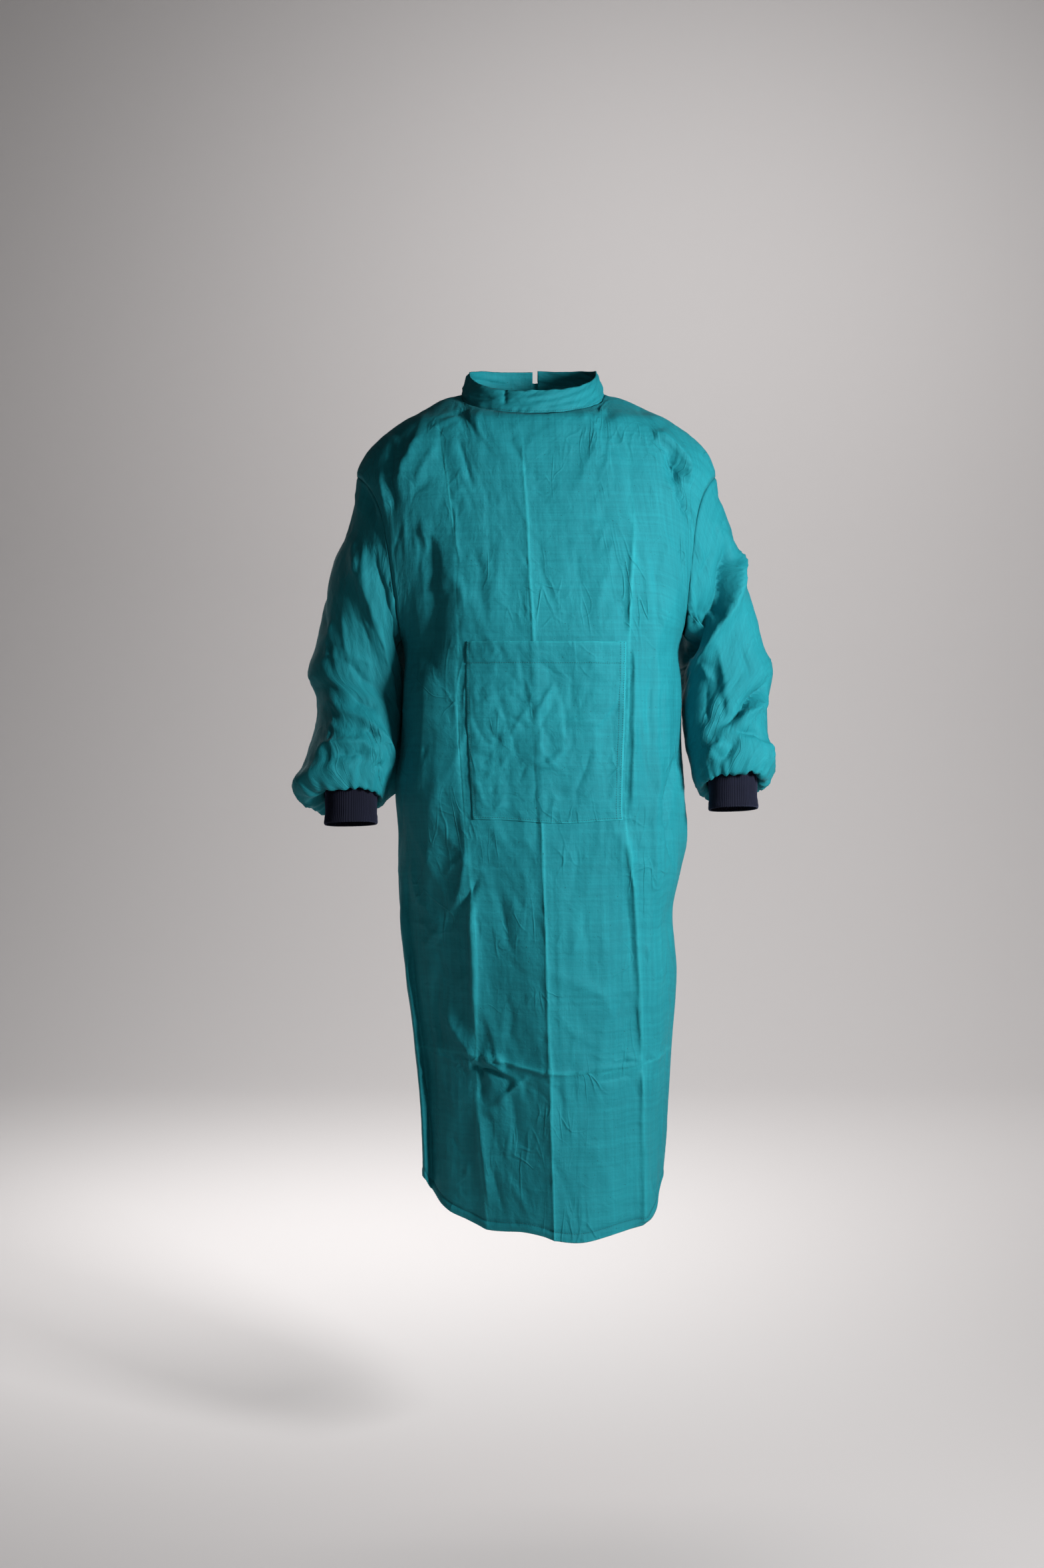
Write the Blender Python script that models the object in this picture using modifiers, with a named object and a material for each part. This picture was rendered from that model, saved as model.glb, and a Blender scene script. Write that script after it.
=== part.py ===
"""Surgical gown, hollow, as it hangs when worn: front, two overlapping backs, sleeves, knit cuffs,
stand collar, patch pocket and tape ties.

Metres, +Z up. The origin is the middle of the neck base, where the wearer holds the gown up. The
front faces -Y and the wearer's left is +X. Each cloth piece is an open grid of points, worked out from
the tables below, with a Solidify wall.
"""

import math
from collections import namedtuple

import bmesh
import bpy
import numpy as np
from mathutils import Matrix, Vector

# Walls and seams
CLOTH = 0.002  # woven panels
BAND = 0.003  # collar, two layers
KNIT = 0.003  # rib knit cuffs
SEAM = 0.0003  # between pieces that are sewn to each other
ARMHOLE_SEAM = 0.0016  # wider, so that the two walls clear each other round the tight curve

# Outline
UNDERARM_Z = -0.350
SHOULDER_TIP_Z = -0.112
HEM_LEVEL_Z = -1.200  # about where the hem is
HEM_SIDE_Z = -1.152
HEM_BACK_Z = -1.158
ROUNDNESS = 2.6  # exponent of the body's sections: 2 is an ellipse, more is squarer

# Neckline: an oval, lowest in front and highest at the nape
NECK_X = -0.004
NECK_HALF_WIDTH = 0.105
NECK_FRONT = 0.088
NECK_BACK = 0.085
NECK_FRONT_Z = -0.030
NECK_SIDE_Z = 0.0075
NECK_BACK_Z = 0.018
NECK_DIP = 0.85  # exponent of its rise and fall: 1 is even, less is steeper at the front and nape

COLLAR_HEIGHT = 0.035
COLLAR_LEAN = 0.010  # how far its top edge leans in
COLLAR_OPENING = 0.004  # half of the gap at the back
COLLAR_SEAM = 0.0010  # above and inside the neckline, which slopes away from it

# Half widths to the wearer's right (-X) and left (+X) and depths to the front (-Y) and back (+Y).
# Between the neck and the shoulder tip the half widths are the shoulder line, from there to the
# underarm they pass inside the sleeve, and below it they are the side seams.
Body = namedtuple("Body", "z right left front back")
BODY = (
    Body(NECK_BACK_Z, 0.094, 0.086, 0.004, 0.085),
    Body(0.012, 0.107, 0.0985, 0.006, 0.0875),
    Body(NECK_SIDE_Z, NECK_HALF_WIDTH - NECK_X, NECK_HALF_WIDTH + NECK_X, 0.010, 0.090),
    Body(0.000, 0.134, 0.126, 0.027, 0.095),
    Body(-0.011, 0.156, 0.151, 0.045, 0.099),
    Body(-0.021, 0.1735, 0.1715, 0.064, 0.104),
    Body(-0.032, 0.1945, 0.1935, 0.087, 0.108),
    Body(-0.045, 0.2135, 0.2145, 0.096, 0.113),
    Body(-0.059, 0.2295, 0.2325, 0.101, 0.118),
    Body(-0.078, 0.2480, 0.2510, 0.107, 0.123),
    Body(-0.098, 0.259, 0.261, 0.112, 0.127),
    Body(SHOULDER_TIP_Z, 0.263, 0.265, 0.115, 0.129),
    Body(-0.167, 0.258, 0.263, 0.123, 0.132),
    Body(-0.215, 0.250, 0.257, 0.128, 0.133),
    Body(-0.310, 0.220, 0.233, 0.134, 0.130),
    Body(UNDERARM_Z, 0.197, 0.213, 0.135, 0.126),
    Body(-0.430, 0.195, 0.2145, 0.135, 0.119),
    Body(-0.500, 0.198, 0.2145, 0.135, 0.117),
    Body(-0.570, 0.206, 0.219, 0.136, 0.119),
    Body(-0.650, 0.201, 0.222, 0.136, 0.122),
    Body(-0.700, 0.202, 0.214, 0.134, 0.124),
    Body(-0.750, 0.200, 0.2035, 0.131, 0.125),
    Body(-0.845, 0.192, 0.2080, 0.128, 0.126),
    Body(-0.945, 0.1800, 0.2030, 0.125, 0.126),
    Body(-1.040, 0.1700, 0.1980, 0.122, 0.125),
    Body(-1.143, 0.1650, 0.1905, 0.120, 0.122),
    Body(-1.230, 0.1640, 0.1890, 0.119, 0.120),
)

# The front's hem, which rises to the side seams
Hem = namedtuple("Hem", "x z")
HEM = (
    Hem(-0.164, HEM_SIDE_Z),
    Hem(-0.129, -1.184),
    Hem(-0.099, -1.197),
    Hem(-0.070, -1.2065),
    Hem(-0.014, -1.211),
    Hem(0.029, -1.222),
    Hem(0.057, -1.225),
    Hem(0.128, -1.214),
    Hem(0.161, -1.2075),
    Hem(0.176, -1.189),
    Hem(0.190, HEM_SIDE_Z),
)

# The three pressed creases of the front: where each one lies, by height
Crease = namedtuple("Crease", "z right middle left")
CREASES = (
    Crease(0.010, -0.1405, -0.024, 0.1285),
    Crease(-0.040, -0.1390, -0.022, 0.1290),
    Crease(-0.186, -0.1182, -0.0137, 0.1385),
    Crease(UNDERARM_Z, -0.1112, -0.0038, 0.1330),
    Crease(-0.455, -0.1112, 0.0010, 0.1320),
    Crease(-0.610, -0.1020, 0.0072, 0.1280),
    Crease(-0.740, -0.0905, 0.0120, 0.1430),
    Crease(-0.910, -0.0875, 0.0178, 0.1510),
    Crease(-1.000, -0.0870, 0.0208, 0.1535),
    Crease(-1.220, -0.0690, 0.0260, 0.1570),
)
CREASE_HEIGHT = {"right": 0.006, "middle": 0.003, "left": 0.005}
CREASE_WIDTH = 0.012

# Columns of the front's grid: side seam to crease, then crease to middle, alike on both halves. On
# the top edge, one column lies between the crease and the neck corner.
FLANK_STEPS = 5
FLANK_CROWDING = 1.7  # 1 is even, more draws the columns towards the side seam
NECK_STEPS = 6  # neck corner to the middle crease, on the top edge
NECK_FADE = 6  # how fast the neckline's own shape fades out down the panels
ARMHOLE_SLOPE = 0.45  # share of the armhole's width that is gained evenly, the rest near its tip
ARMHOLE_TIP = 8
UPPER_ROWS = 9
LOWER_ROWS = 16

# Backs: each runs past the middle by this much, the wearer's left one on top
BACK_LAP = 0.045
LAP_CLEARANCE = 0.0010
LAP_RISE = (0.110, 0.062)  # x where the upper one starts to rise over the lower one, and is over it
BACK_SHOULDER_STEPS = 6
BACK_NECK_STEPS = 3  # neck corner to the lap
LAP_STEPS = 2  # the lap's edge to the middle

# Sleeves, from the armhole to the cuff. Each ring has its outermost and innermost point, the y of
# its middle, its half depth, and how much higher its front is than its middle.
Ring = namedtuple("Ring", "outer_x outer_z inner_x inner_z y depth lift")
SLEEVE_ROUNDNESS = 2.2
SLEEVES = {
    "left": (
        Ring(0.2650, -0.112, 0.2130, -0.350, 0.000, 0.085, 0.000),
        Ring(0.2735, -0.150, 0.2270, -0.374, 0.008, 0.083, 0.005),
        Ring(0.2915, -0.190, 0.2255, -0.392, 0.016, 0.081, 0.008),
        Ring(0.3055, -0.235, 0.2230, -0.405, 0.022, 0.080, 0.010),
        Ring(0.3160, -0.280, 0.2235, -0.417, 0.026, 0.079, 0.010),
        Ring(0.3295, -0.320, 0.2230, -0.428, 0.028, 0.079, 0.012),
        Ring(0.3405, -0.360, 0.2205, -0.440, 0.028, 0.079, 0.014),
        Ring(0.3530, -0.398, 0.2192, -0.452, 0.024, 0.078, 0.016),
        Ring(0.3490, -0.430, 0.2192, -0.464, 0.016, 0.076, 0.018),
        Ring(0.3425, -0.456, 0.2200, -0.478, 0.007, 0.074, 0.020),
        Ring(0.3445, -0.480, 0.2220, -0.494, -0.004, 0.072, 0.022),
        Ring(0.3460, -0.504, 0.2240, -0.512, -0.016, 0.070, 0.024),
        Ring(0.3530, -0.532, 0.2280, -0.534, -0.027, 0.066, 0.026),
        Ring(0.3490, -0.551, 0.2330, -0.554, -0.036, 0.060, 0.026),
        Ring(0.3370, -0.566, 0.2420, -0.572, -0.043, 0.050, 0.022),
        Ring(0.3260, -0.558, 0.2525, -0.560, -0.045, 0.036, 0.020),
    ),
    "right": (
        Ring(-0.2630, -0.112, -0.1970, -0.350, 0.000, 0.085, 0.000),
        Ring(-0.2680, -0.150, -0.2095, -0.374, 0.008, 0.083, 0.005),
        Ring(-0.2780, -0.190, -0.2070, -0.392, 0.018, 0.081, 0.008),
        Ring(-0.2985, -0.235, -0.2020, -0.405, 0.026, 0.080, 0.010),
        Ring(-0.3120, -0.280, -0.2010, -0.417, 0.032, 0.079, 0.010),
        Ring(-0.3200, -0.322, -0.2005, -0.428, 0.036, 0.079, 0.012),
        Ring(-0.3295, -0.362, -0.2005, -0.440, 0.036, 0.079, 0.014),
        Ring(-0.3430, -0.408, -0.2010, -0.456, 0.032, 0.078, 0.016),
        Ring(-0.3305, -0.433, -0.2005, -0.470, 0.024, 0.076, 0.018),
        Ring(-0.3250, -0.460, -0.2025, -0.485, 0.014, 0.074, 0.020),
        Ring(-0.3285, -0.488, -0.2040, -0.500, 0.002, 0.073, 0.022),
        Ring(-0.3360, -0.515, -0.2065, -0.518, -0.012, 0.071, 0.024),
        Ring(-0.3470, -0.547, -0.2105, -0.542, -0.026, 0.068, 0.026),
        Ring(-0.3585, -0.571, -0.2180, -0.565, -0.037, 0.062, 0.026),
        Ring(-0.3370, -0.594, -0.2240, -0.588, -0.043, 0.050, 0.022),
        Ring(-0.3100, -0.582, -0.2310, -0.580, -0.045, 0.037, 0.020),
    ),
}
ARMHOLE_BLEND = 6  # rings over which the armhole's own shape fades out

# Cuffs: tubes that start inside the sleeve's last ring and lean forward with the forearm
CUFF_LENGTH = 0.042  # below the seam
CUFF_DROPS = (0.006, 0.0, -CUFF_LENGTH / 2, -CUFF_LENGTH)  # its rings, from the sleeve's last one
CUFF_FORWARD = 0.010
CUFF_LEVELLING = 0.7  # how much of the last ring's tilt is gone at its lower edge
CUFF_INSET = 0.0008

# Patch pocket, in columns and rows of the front's grid
POCKET_RIGHT_INSET = 0.6  # columns in from the right crease
POCKET_LEFT_INSET = 0.2  # columns in from the left crease
POCKET_TOP_Z = -0.357
POCKET_BOTTOM_Z = -0.615
POCKET_LIFT = 0.0006

# Tape ties at the back: two tapes that meet in a knot, with a tail each
TAPE_WIDTH = 0.012
TAPE_WALL = 0.002
TAIL_SPREAD = 0.024
KNOT = Vector((0.020, 0.009, 0.015))
KNOT_ROUNDING = 0.003
Tie = namedtuple("Tie", "name x z inner outer tail start lean")
# x and z place the knot, inner and outer are its ends' reach towards the middle and away from it,
# tail is how far its tails drop, start how far out they begin, and lean how much further back their
# lower ends are.
TIES = (
    Tie("tie_neck", 0.000, 0.031, 0.018, 0.018, 0.092, 0.0068, 0.0405),
    Tie("tie_waist", -0.085, -0.420, 0.0385, 0.032, 0.130, 0.0032, -0.0016),
)
NECK_TIE_Y = 0.0835  # on the collar's outer face

TEAL = (0.010, 0.215, 0.225, 1.0)
NAVY = (0.006, 0.008, 0.025, 1.0)


def smooth_through(heights, values, at):
    """The value at a height, on a smooth curve through the given ones."""
    order = np.argsort(heights)
    height = np.asarray(heights)[order]
    value = np.asarray(values)[order]
    slope = np.gradient(value, height)
    at = min(max(at, height[0]), height[-1])
    k = min(max(int(np.searchsorted(height, at)) - 1, 0), len(height) - 2)
    span = height[k + 1] - height[k]
    t = (at - height[k]) / span
    ends = (1 + 2 * t) * (1 - t) ** 2 * value[k] + t * t * (3 - 2 * t) * value[k + 1]
    return ends + t * (1 - t) * span * ((1 - t) * slope[k] - t * slope[k + 1])


def body(field, z):
    """A column of the body's table at a height."""
    return float(smooth_through([row.z for row in BODY], [getattr(row, field) for row in BODY], z))


def crease_x(name, z):
    """Where one of the front's pressed creases lies at a height."""
    return float(smooth_through([c.z for c in CREASES], [getattr(c, name) for c in CREASES], z))


def half_width(x, z):
    """The body's half width at a height, on the side that x is on."""
    return body("right" if x < 0 else "left", z)


def section_y(x, z, face):
    """The body's surface at x and z: face is "front" or "back"."""
    reach = min(abs(x) / half_width(x, z), 1.0)
    depth = body(face, z) * math.sqrt(1 - reach**ROUNDNESS)
    return -depth if face == "front" else depth


def shoulder_z(x):
    """Height of the shoulder line at x."""
    low, high = SHOULDER_TIP_Z, NECK_SIDE_Z
    for _ in range(40):
        z = (low + high) / 2
        low, high = (low, z) if half_width(x, z) < abs(x) else (z, high)
    return (low + high) / 2


def neck_point(angle):
    """A point of the neckline: 0 is the front, +90 degrees the wearer's left, 180 the nape."""
    forward = math.cos(angle)
    deep, end_z = (NECK_FRONT, NECK_FRONT_Z) if forward > 0 else (NECK_BACK, NECK_BACK_Z)
    z = NECK_SIDE_Z + (end_z - NECK_SIDE_Z) * abs(forward) ** NECK_DIP
    return Vector((NECK_X + NECK_HALF_WIDTH * math.sin(angle), -deep * forward, z))


Column = namedtuple("Column", "top bottom_x edge neck")
# top is its upper end, bottom_x its x at the underarm's height, edge goes from 0 at the crease to 1
# at the armhole, and neck from 0 at the middle of the neckline to 1 at its corner and beyond.


def flank_x(side, crease, step, steps):
    """x of a column between side seam and crease, closer together where the cloth turns back."""
    return side + (crease - side) * (step / steps) ** FLANK_CROWDING


def nape_angle(x):
    """Where the back of the neckline is at x, between 180 and -180 degrees."""
    angle = math.pi - math.asin((x - NECK_X) / NECK_HALF_WIDTH)
    return angle if x >= 0 else angle - 2 * math.pi


def front_neck_angles(sign):
    """Where one half of the front's columns meet the neckline, from its corner to the middle."""
    corner = sign * math.pi / 2
    middle = math.asin((crease_x("middle", NECK_FRONT_Z) - NECK_X) / NECK_HALF_WIDTH)
    return [corner + (middle - corner) * i / NECK_STEPS for i in range(NECK_STEPS + 1)]


def back_neck_angles(sign):
    """Where a back's columns meet the neckline, from its corner to the edge of the lap."""
    corner = sign * math.pi / 2
    lap = nape_angle(sign * BACK_LAP)
    return [corner + (lap - corner) * i / BACK_NECK_STEPS for i in range(BACK_NECK_STEPS + 1)]


def lap_x(sign):
    """x of a back's columns in the lap, which both backs share."""
    return [sign * BACK_LAP * (1 - i / LAP_STEPS) for i in range(2 * LAP_STEPS + 1)]


def shoulder_points(sign, neck_end_x, steps):
    """Points along the shoulder line, from its tip towards the neck, without the last one."""
    tip = sign * body("right" if sign < 0 else "left", SHOULDER_TIP_Z)
    xs = [tip + (neck_end_x - tip) * i / steps for i in range(steps)]
    return [Vector((x, 0, shoulder_z(x))) for x in xs]


def front_columns():
    """The front's columns, from the wearer's right to the left."""
    halves = []
    for sign, name in ((-1, "right"), (1, "left")):
        side = sign * body(name, UNDERARM_Z)
        crease = crease_x(name, UNDERARM_Z)
        middle = crease_x("middle", UNDERARM_Z)
        crease_top = crease_x(name, NECK_SIDE_Z)
        half = []
        for i, top in enumerate(shoulder_points(sign, crease_top, FLANK_STEPS)):
            edge = (1 - i / FLANK_STEPS) ** 2
            half.append(Column(top, flank_x(side, crease, i, FLANK_STEPS), edge, 1))
        half.append(Column(Vector((crease_top, 0, shoulder_z(crease_top))), crease, 0, 1))
        for i, angle in enumerate(front_neck_angles(sign)):
            x = crease + (middle - crease) * (i + 1) / (NECK_STEPS + 1)
            half.append(Column(neck_point(angle), x, 0, 1 - i / NECK_STEPS))
        halves.append(half)
    return halves[0] + halves[1][-2::-1]


def back_columns(sign):
    """One back's columns, from its side seam past the middle."""
    side = sign * body("right" if sign < 0 else "left", UNDERARM_Z)
    angles = back_neck_angles(sign)
    tops = shoulder_points(sign, neck_point(angles[0]).x, BACK_SHOULDER_STEPS)
    tops += [neck_point(angle) for angle in angles[:-1]]
    columns = []
    for i, top in enumerate(tops):
        edge = max(0, 1 - i / FLANK_STEPS) ** 2
        neck = min(1, 1 - (i - BACK_SHOULDER_STEPS) / BACK_NECK_STEPS)
        columns.append(Column(top, flank_x(side, sign * BACK_LAP, i, len(tops)), edge, neck))
    return columns + [Column(neck_point(nape_angle(x)), x, 0, 0) for x in lap_x(sign)]


def row_spread(column, v):
    """How far down the column a row lies: rows crowd where the cloth turns over the shoulder."""
    over_top = 1 - math.cos(math.pi / 2 * v)
    over_both = (1 - math.cos(math.pi * v)) / 2
    return v + column.neck * (over_top - v) + column.edge * (over_both - over_top)


def crease_rise(x, z):
    """How far the pressed creases lift the front at a place."""
    rise = 0
    for name, height in CREASE_HEIGHT.items():
        rise += height * math.exp(-abs(x - crease_x(name, z)) / CREASE_WIDTH)
    return rise


def upper_point(column, face, v):
    """A point between a column's upper end and the underarm's height."""
    down = row_spread(column, v)
    top = column.top
    z = top.z + (UNDERARM_Z - top.z) * down
    up = 1 - down
    armhole = ARMHOLE_SLOPE * up**0.85 + (1 - ARMHOLE_SLOPE) * up**ARMHOLE_TIP
    lean = up ** (1 + column.neck) * (1 - column.edge) + armhole * column.edge
    x = column.bottom_x + (top.x - column.bottom_x) * lean
    y = section_y(x, z, face) + (top.y - section_y(top.x, top.z, face)) * up**NECK_FADE
    if face == "front":
        y -= crease_rise(x, z) * down
    return Vector((x, y, z))


def front_lower_point(index, count, v):
    """A point of the front below the underarm: index counts the columns from the wearer's right."""
    sign, name, i = (-1, "right", index) if index <= count / 2 else (1, "left", count - index)
    inner_steps = count / 2 - FLANK_STEPS

    def x_at(z):
        crease = crease_x(name, z)
        if i <= FLANK_STEPS:
            return flank_x(sign * body(name, z), crease, i, FLANK_STEPS)
        return crease + (crease_x("middle", z) - crease) * (i - FLANK_STEPS) / inner_steps

    hem = float(smooth_through([row.x for row in HEM], [row.z for row in HEM], x_at(HEM_LEVEL_Z)))
    z = UNDERARM_Z + (hem - UNDERARM_Z) * v
    x = x_at(z)
    return Vector((x, section_y(x, z, "front") - crease_rise(x, z), z))


def back_lower_point(column, side_at_top, v):
    """A point of a back below the underarm."""
    sign = 1 if side_at_top > 0 else -1
    share = max(0, (sign * column.bottom_x - BACK_LAP) / (abs(side_at_top) - BACK_LAP))
    hem = HEM_BACK_Z + (HEM_SIDE_Z - HEM_BACK_Z) * share**2
    z = UNDERARM_Z + (hem - UNDERARM_Z) * v
    x = column.bottom_x
    if share > 0:
        x = sign * (BACK_LAP + (half_width(sign, z) - BACK_LAP) * share)
    return Vector((x, section_y(x, z, "back"), z))


def front_grid():
    """Columns of the front, each a list of points from the top edge to the hem."""
    columns = front_columns()
    count = len(columns) - 1
    grid = []
    for index, column in enumerate(columns):
        upper = [upper_point(column, "front", i / UPPER_ROWS) for i in range(UPPER_ROWS + 1)]
        lower = [front_lower_point(index, count, (i + 1) / LOWER_ROWS) for i in range(LOWER_ROWS)]
        grid.append([Vector((p.x, min(p.y, 0) - SEAM, p.z)) for p in upper + lower])
    return grid


def back_grid(sign):
    """Columns of one back, from its side seam past the middle."""
    columns = back_columns(sign)
    side = columns[0].bottom_x
    grid = []
    for column in columns:
        upper = [upper_point(column, "back", i / UPPER_ROWS) for i in range(UPPER_ROWS + 1)]
        lower = [back_lower_point(column, side, (i + 1) / LOWER_ROWS) for i in range(LOWER_ROWS)]
        grid.append([Vector((p.x, max(p.y, 0) + SEAM, p.z)) for p in upper + lower])
    if sign < 0:
        return grid
    return [[laid_over(grid, i, j) for j in range(len(grid[0]))] for i in range(len(grid))]


def laid_over(grid, i, j):
    """A point of the upper back, moved out where it lies on the lower one."""
    start, end = LAP_RISE
    over = min(max((start - grid[i][j].x) / (start - end), 0), 1)
    rise = (CLOTH + LAP_CLEARANCE) * over * over * (3 - 2 * over)
    return grid[i][j] + grid_normal(grid, i, j) * rise


def grid_normal(grid, i, j):
    """The outward direction at a point of a grid whose faces turn down, then across."""
    across = grid[min(i + 1, len(grid) - 1)][j] - grid[max(i - 1, 0)][j]
    down = grid[i][min(j + 1, len(grid[0]) - 1)] - grid[i][max(j - 1, 0)]
    return down.cross(across).normalized()


def armhole(name, front, back):
    """The armhole's loop on the body's outer face: from the shoulder tip down the front and up again."""
    edge = 0 if name == "right" else len(front) - 1
    turn = 1 if name == "right" else -1
    loop = []
    for j in range(UPPER_ROWS + 1):
        loop.append(front[edge][j] + grid_normal(front, edge, j) * CLOTH)
    for j in range(UPPER_ROWS - 1, 0, -1):
        loop.append(back[0][j] + grid_normal(back, 0, j) * CLOTH * -turn)
    return loop


def ring_points(ring, count):
    """Points round one ring of a sleeve: the outermost first, then down the front."""
    outer = Vector((ring.outer_x, ring.y, ring.outer_z))
    inner = Vector((ring.inner_x, ring.y, ring.inner_z))
    reach = (outer - inner) / 2
    forward = Vector((0, -ring.depth, ring.lift))
    points = []
    for j in range(count):
        angle = 2 * math.pi * j / count
        across = math.copysign(abs(math.cos(angle)) ** (2 / SLEEVE_ROUNDNESS), math.cos(angle))
        along = math.copysign(abs(math.sin(angle)) ** (2 / SLEEVE_ROUNDNESS), math.sin(angle))
        points.append((outer + inner) / 2 + reach * across + forward * along)
    return points


def sleeve_rings(name, loop):
    """All rings of a sleeve, its first one along the armhole."""
    rows = SLEEVES[name]
    count = len(loop)
    first = ring_points(rows[0], count)
    rings = []
    for k, row in enumerate(rows):
        fade = max(0, 1 - k / ARMHOLE_BLEND) ** 2
        points = ring_points(row, count)
        rings.append([p + (loop[j] - first[j]) * fade for j, p in enumerate(points)])
    for j in range(count):
        away = (rings[1][j] - rings[0][j]).normalized()
        rings[0][j] += away * ARMHOLE_SEAM
    return rings


def cuff_rings(name):
    """Rings of a cuff, from its seam inside the sleeve to its lower edge."""
    last = SLEEVES[name][-1]
    inset = math.copysign(CUFF_INSET, last.outer_x)
    rings = []
    for drop in CUFF_DROPS:
        below = max(0, -drop) / CUFF_LENGTH
        ring = Ring(
            last.outer_x - inset,
            last.outer_z + drop,
            last.inner_x + inset,
            last.inner_z + drop,
            last.y - CUFF_FORWARD * below,
            last.depth - CUFF_INSET,
            last.lift * (1 - CUFF_LEVELLING * below),
        )
        rings.append(ring_points(ring, 2 * UPPER_ROWS))
    return rings


def collar_rings():
    """Lower, middle and upper edge of the collar at each column that meets the neckline."""
    angles = [nape_angle(-COLLAR_OPENING)]
    angles += [nape_angle(x) for x in lap_x(-1)[LAP_STEPS - 1 : 0 : -1]]
    angles += back_neck_angles(-1)[::-1]
    angles += front_neck_angles(-1)[1:] + front_neck_angles(1)[-2:0:-1]
    angles += back_neck_angles(1)
    angles += [nape_angle(x) for x in lap_x(1)[1:LAP_STEPS]]
    angles += [nape_angle(COLLAR_OPENING)]
    grid = []
    for angle in angles:
        inward = Vector((-math.sin(angle), math.cos(angle), 0))
        base = neck_point(angle) + (inward + Vector((0, 0, 1))) * COLLAR_SEAM
        slant = inward * COLLAR_LEAN + Vector((0, 0, COLLAR_HEIGHT))
        grid.append([base + slant * up for up in (1, 0.5, 0)])
    return grid


def between(grid, i, j):
    """A point and its outward direction at a fractional column and row of a grid."""
    a, b = min(int(i), len(grid) - 2), min(int(j), len(grid[0]) - 2)
    point, normal = Vector(), Vector()
    for da, db in ((0, 0), (0, 1), (1, 0), (1, 1)):
        weight = (i - a if da else 1 - i + a) * (j - b if db else 1 - j + b)
        point += grid[a + da][b + db] * weight
        normal += grid_normal(grid, a + da, b + db) * weight
    return point, normal.normalized()


def pocket_grid(front):
    """The pocket, from the front's own points moved out."""
    left = FLANK_STEPS + POCKET_RIGHT_INSET
    right = len(front) - 1 - FLANK_STEPS - POCKET_LEFT_INSET
    middle = [p.z for p in front[len(front) // 2]]
    top, bottom = (
        float(np.interp(-z, [-m for m in middle], range(len(middle))))
        for z in (POCKET_TOP_Z, POCKET_BOTTOM_Z)
    )
    across = [left, *range(math.ceil(left), math.floor(right) + 1), right]
    down = [top, *range(math.ceil(top), math.floor(bottom) + 1), bottom]
    grid = []
    for i in across:
        column = []
        for j in down:
            point, normal = between(front, i, j)
            column.append(point + normal * (CLOTH + POCKET_LIFT))
        grid.append(column)
    return grid


def material(name, colour, roughness):
    """A plain finish of one colour."""
    made = bpy.data.materials.new(name)
    made.use_nodes = True
    shader = made.node_tree.nodes["Principled BSDF"]
    shader.inputs["Base Color"].default_value = colour
    shader.inputs["Roughness"].default_value = roughness
    shader.inputs["Metallic"].default_value = 0
    return made


def add_object(name, mesh, collection, surface):
    """An object for a mesh, in its collection and with its finish."""
    made = bpy.data.objects.new(name, mesh)
    collection.objects.link(made)
    mesh.materials.append(surface)
    return made


def cloth(name, grid, wall, collection, surface, round_about=False, inward=False):
    """A cloth piece: the grid's faces, with a wall that Solidify adds outside or inside them."""
    mesh = bpy.data.meshes.new(name)
    built = bmesh.new()
    verts = [[built.verts.new(p) for p in column] for column in grid]
    for i in range(len(grid) - 1):
        for j in range(len(grid[0]) - (0 if round_about else 1)):
            k = (j + 1) % len(grid[0])
            built.faces.new((verts[i][j], verts[i][k], verts[i + 1][k], verts[i + 1][j]))
    built.normal_update()
    built.to_mesh(mesh)
    built.free()
    mesh.shade_smooth()
    made = add_object(name, mesh, collection, surface)
    solid = made.modifiers.new("Wall", "SOLIDIFY")
    solid.thickness = wall
    solid.offset = -1 if inward else 1
    return made


def box(name, size, collection):
    """A box of the given size, round its own origin."""
    bpy.ops.mesh.primitive_cube_add(size=1)
    made = bpy.context.object
    made.name = name
    made.data.name = name
    made.data.transform(Matrix.Diagonal((*size, 1)))
    for other in list(made.users_collection):
        other.objects.unlink(made)
    collection.objects.link(made)
    return made


def tape(name, start, end, place, cutters):
    """A straight stretch of tape, as a guide that the knot is joined with."""
    along = (end - start).normalized()
    across = along.cross(Vector((0, 1, 0))).normalized()
    turn = Matrix((along, across.cross(along), across)).transposed()
    made = box(name, ((end - start).length, TAPE_WALL, TAPE_WIDTH), cutters)
    made.matrix_world = place @ Matrix.Translation((start + end) / 2) @ turn.to_4x4()
    made.hide_render = True
    made.display_type = "WIRE"
    return made


def tie_place(row):
    """Where a tie lies: its own Y points out of the cloth."""
    if row.name == "tie_neck":
        return Matrix.Translation((row.x, NECK_TIE_Y, row.z))
    step = 0.01
    rise = section_y(row.x + step, row.z, "back") - section_y(row.x - step, row.z, "back")
    turn = Matrix.Rotation(math.atan2(rise, 2 * step), 4, "Z")
    seat = Vector((row.x, section_y(row.x, row.z, "back") + SEAM, row.z))
    return Matrix.Translation(seat) @ turn @ Matrix.Translation((0, CLOTH + SEAM, 0))


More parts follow.
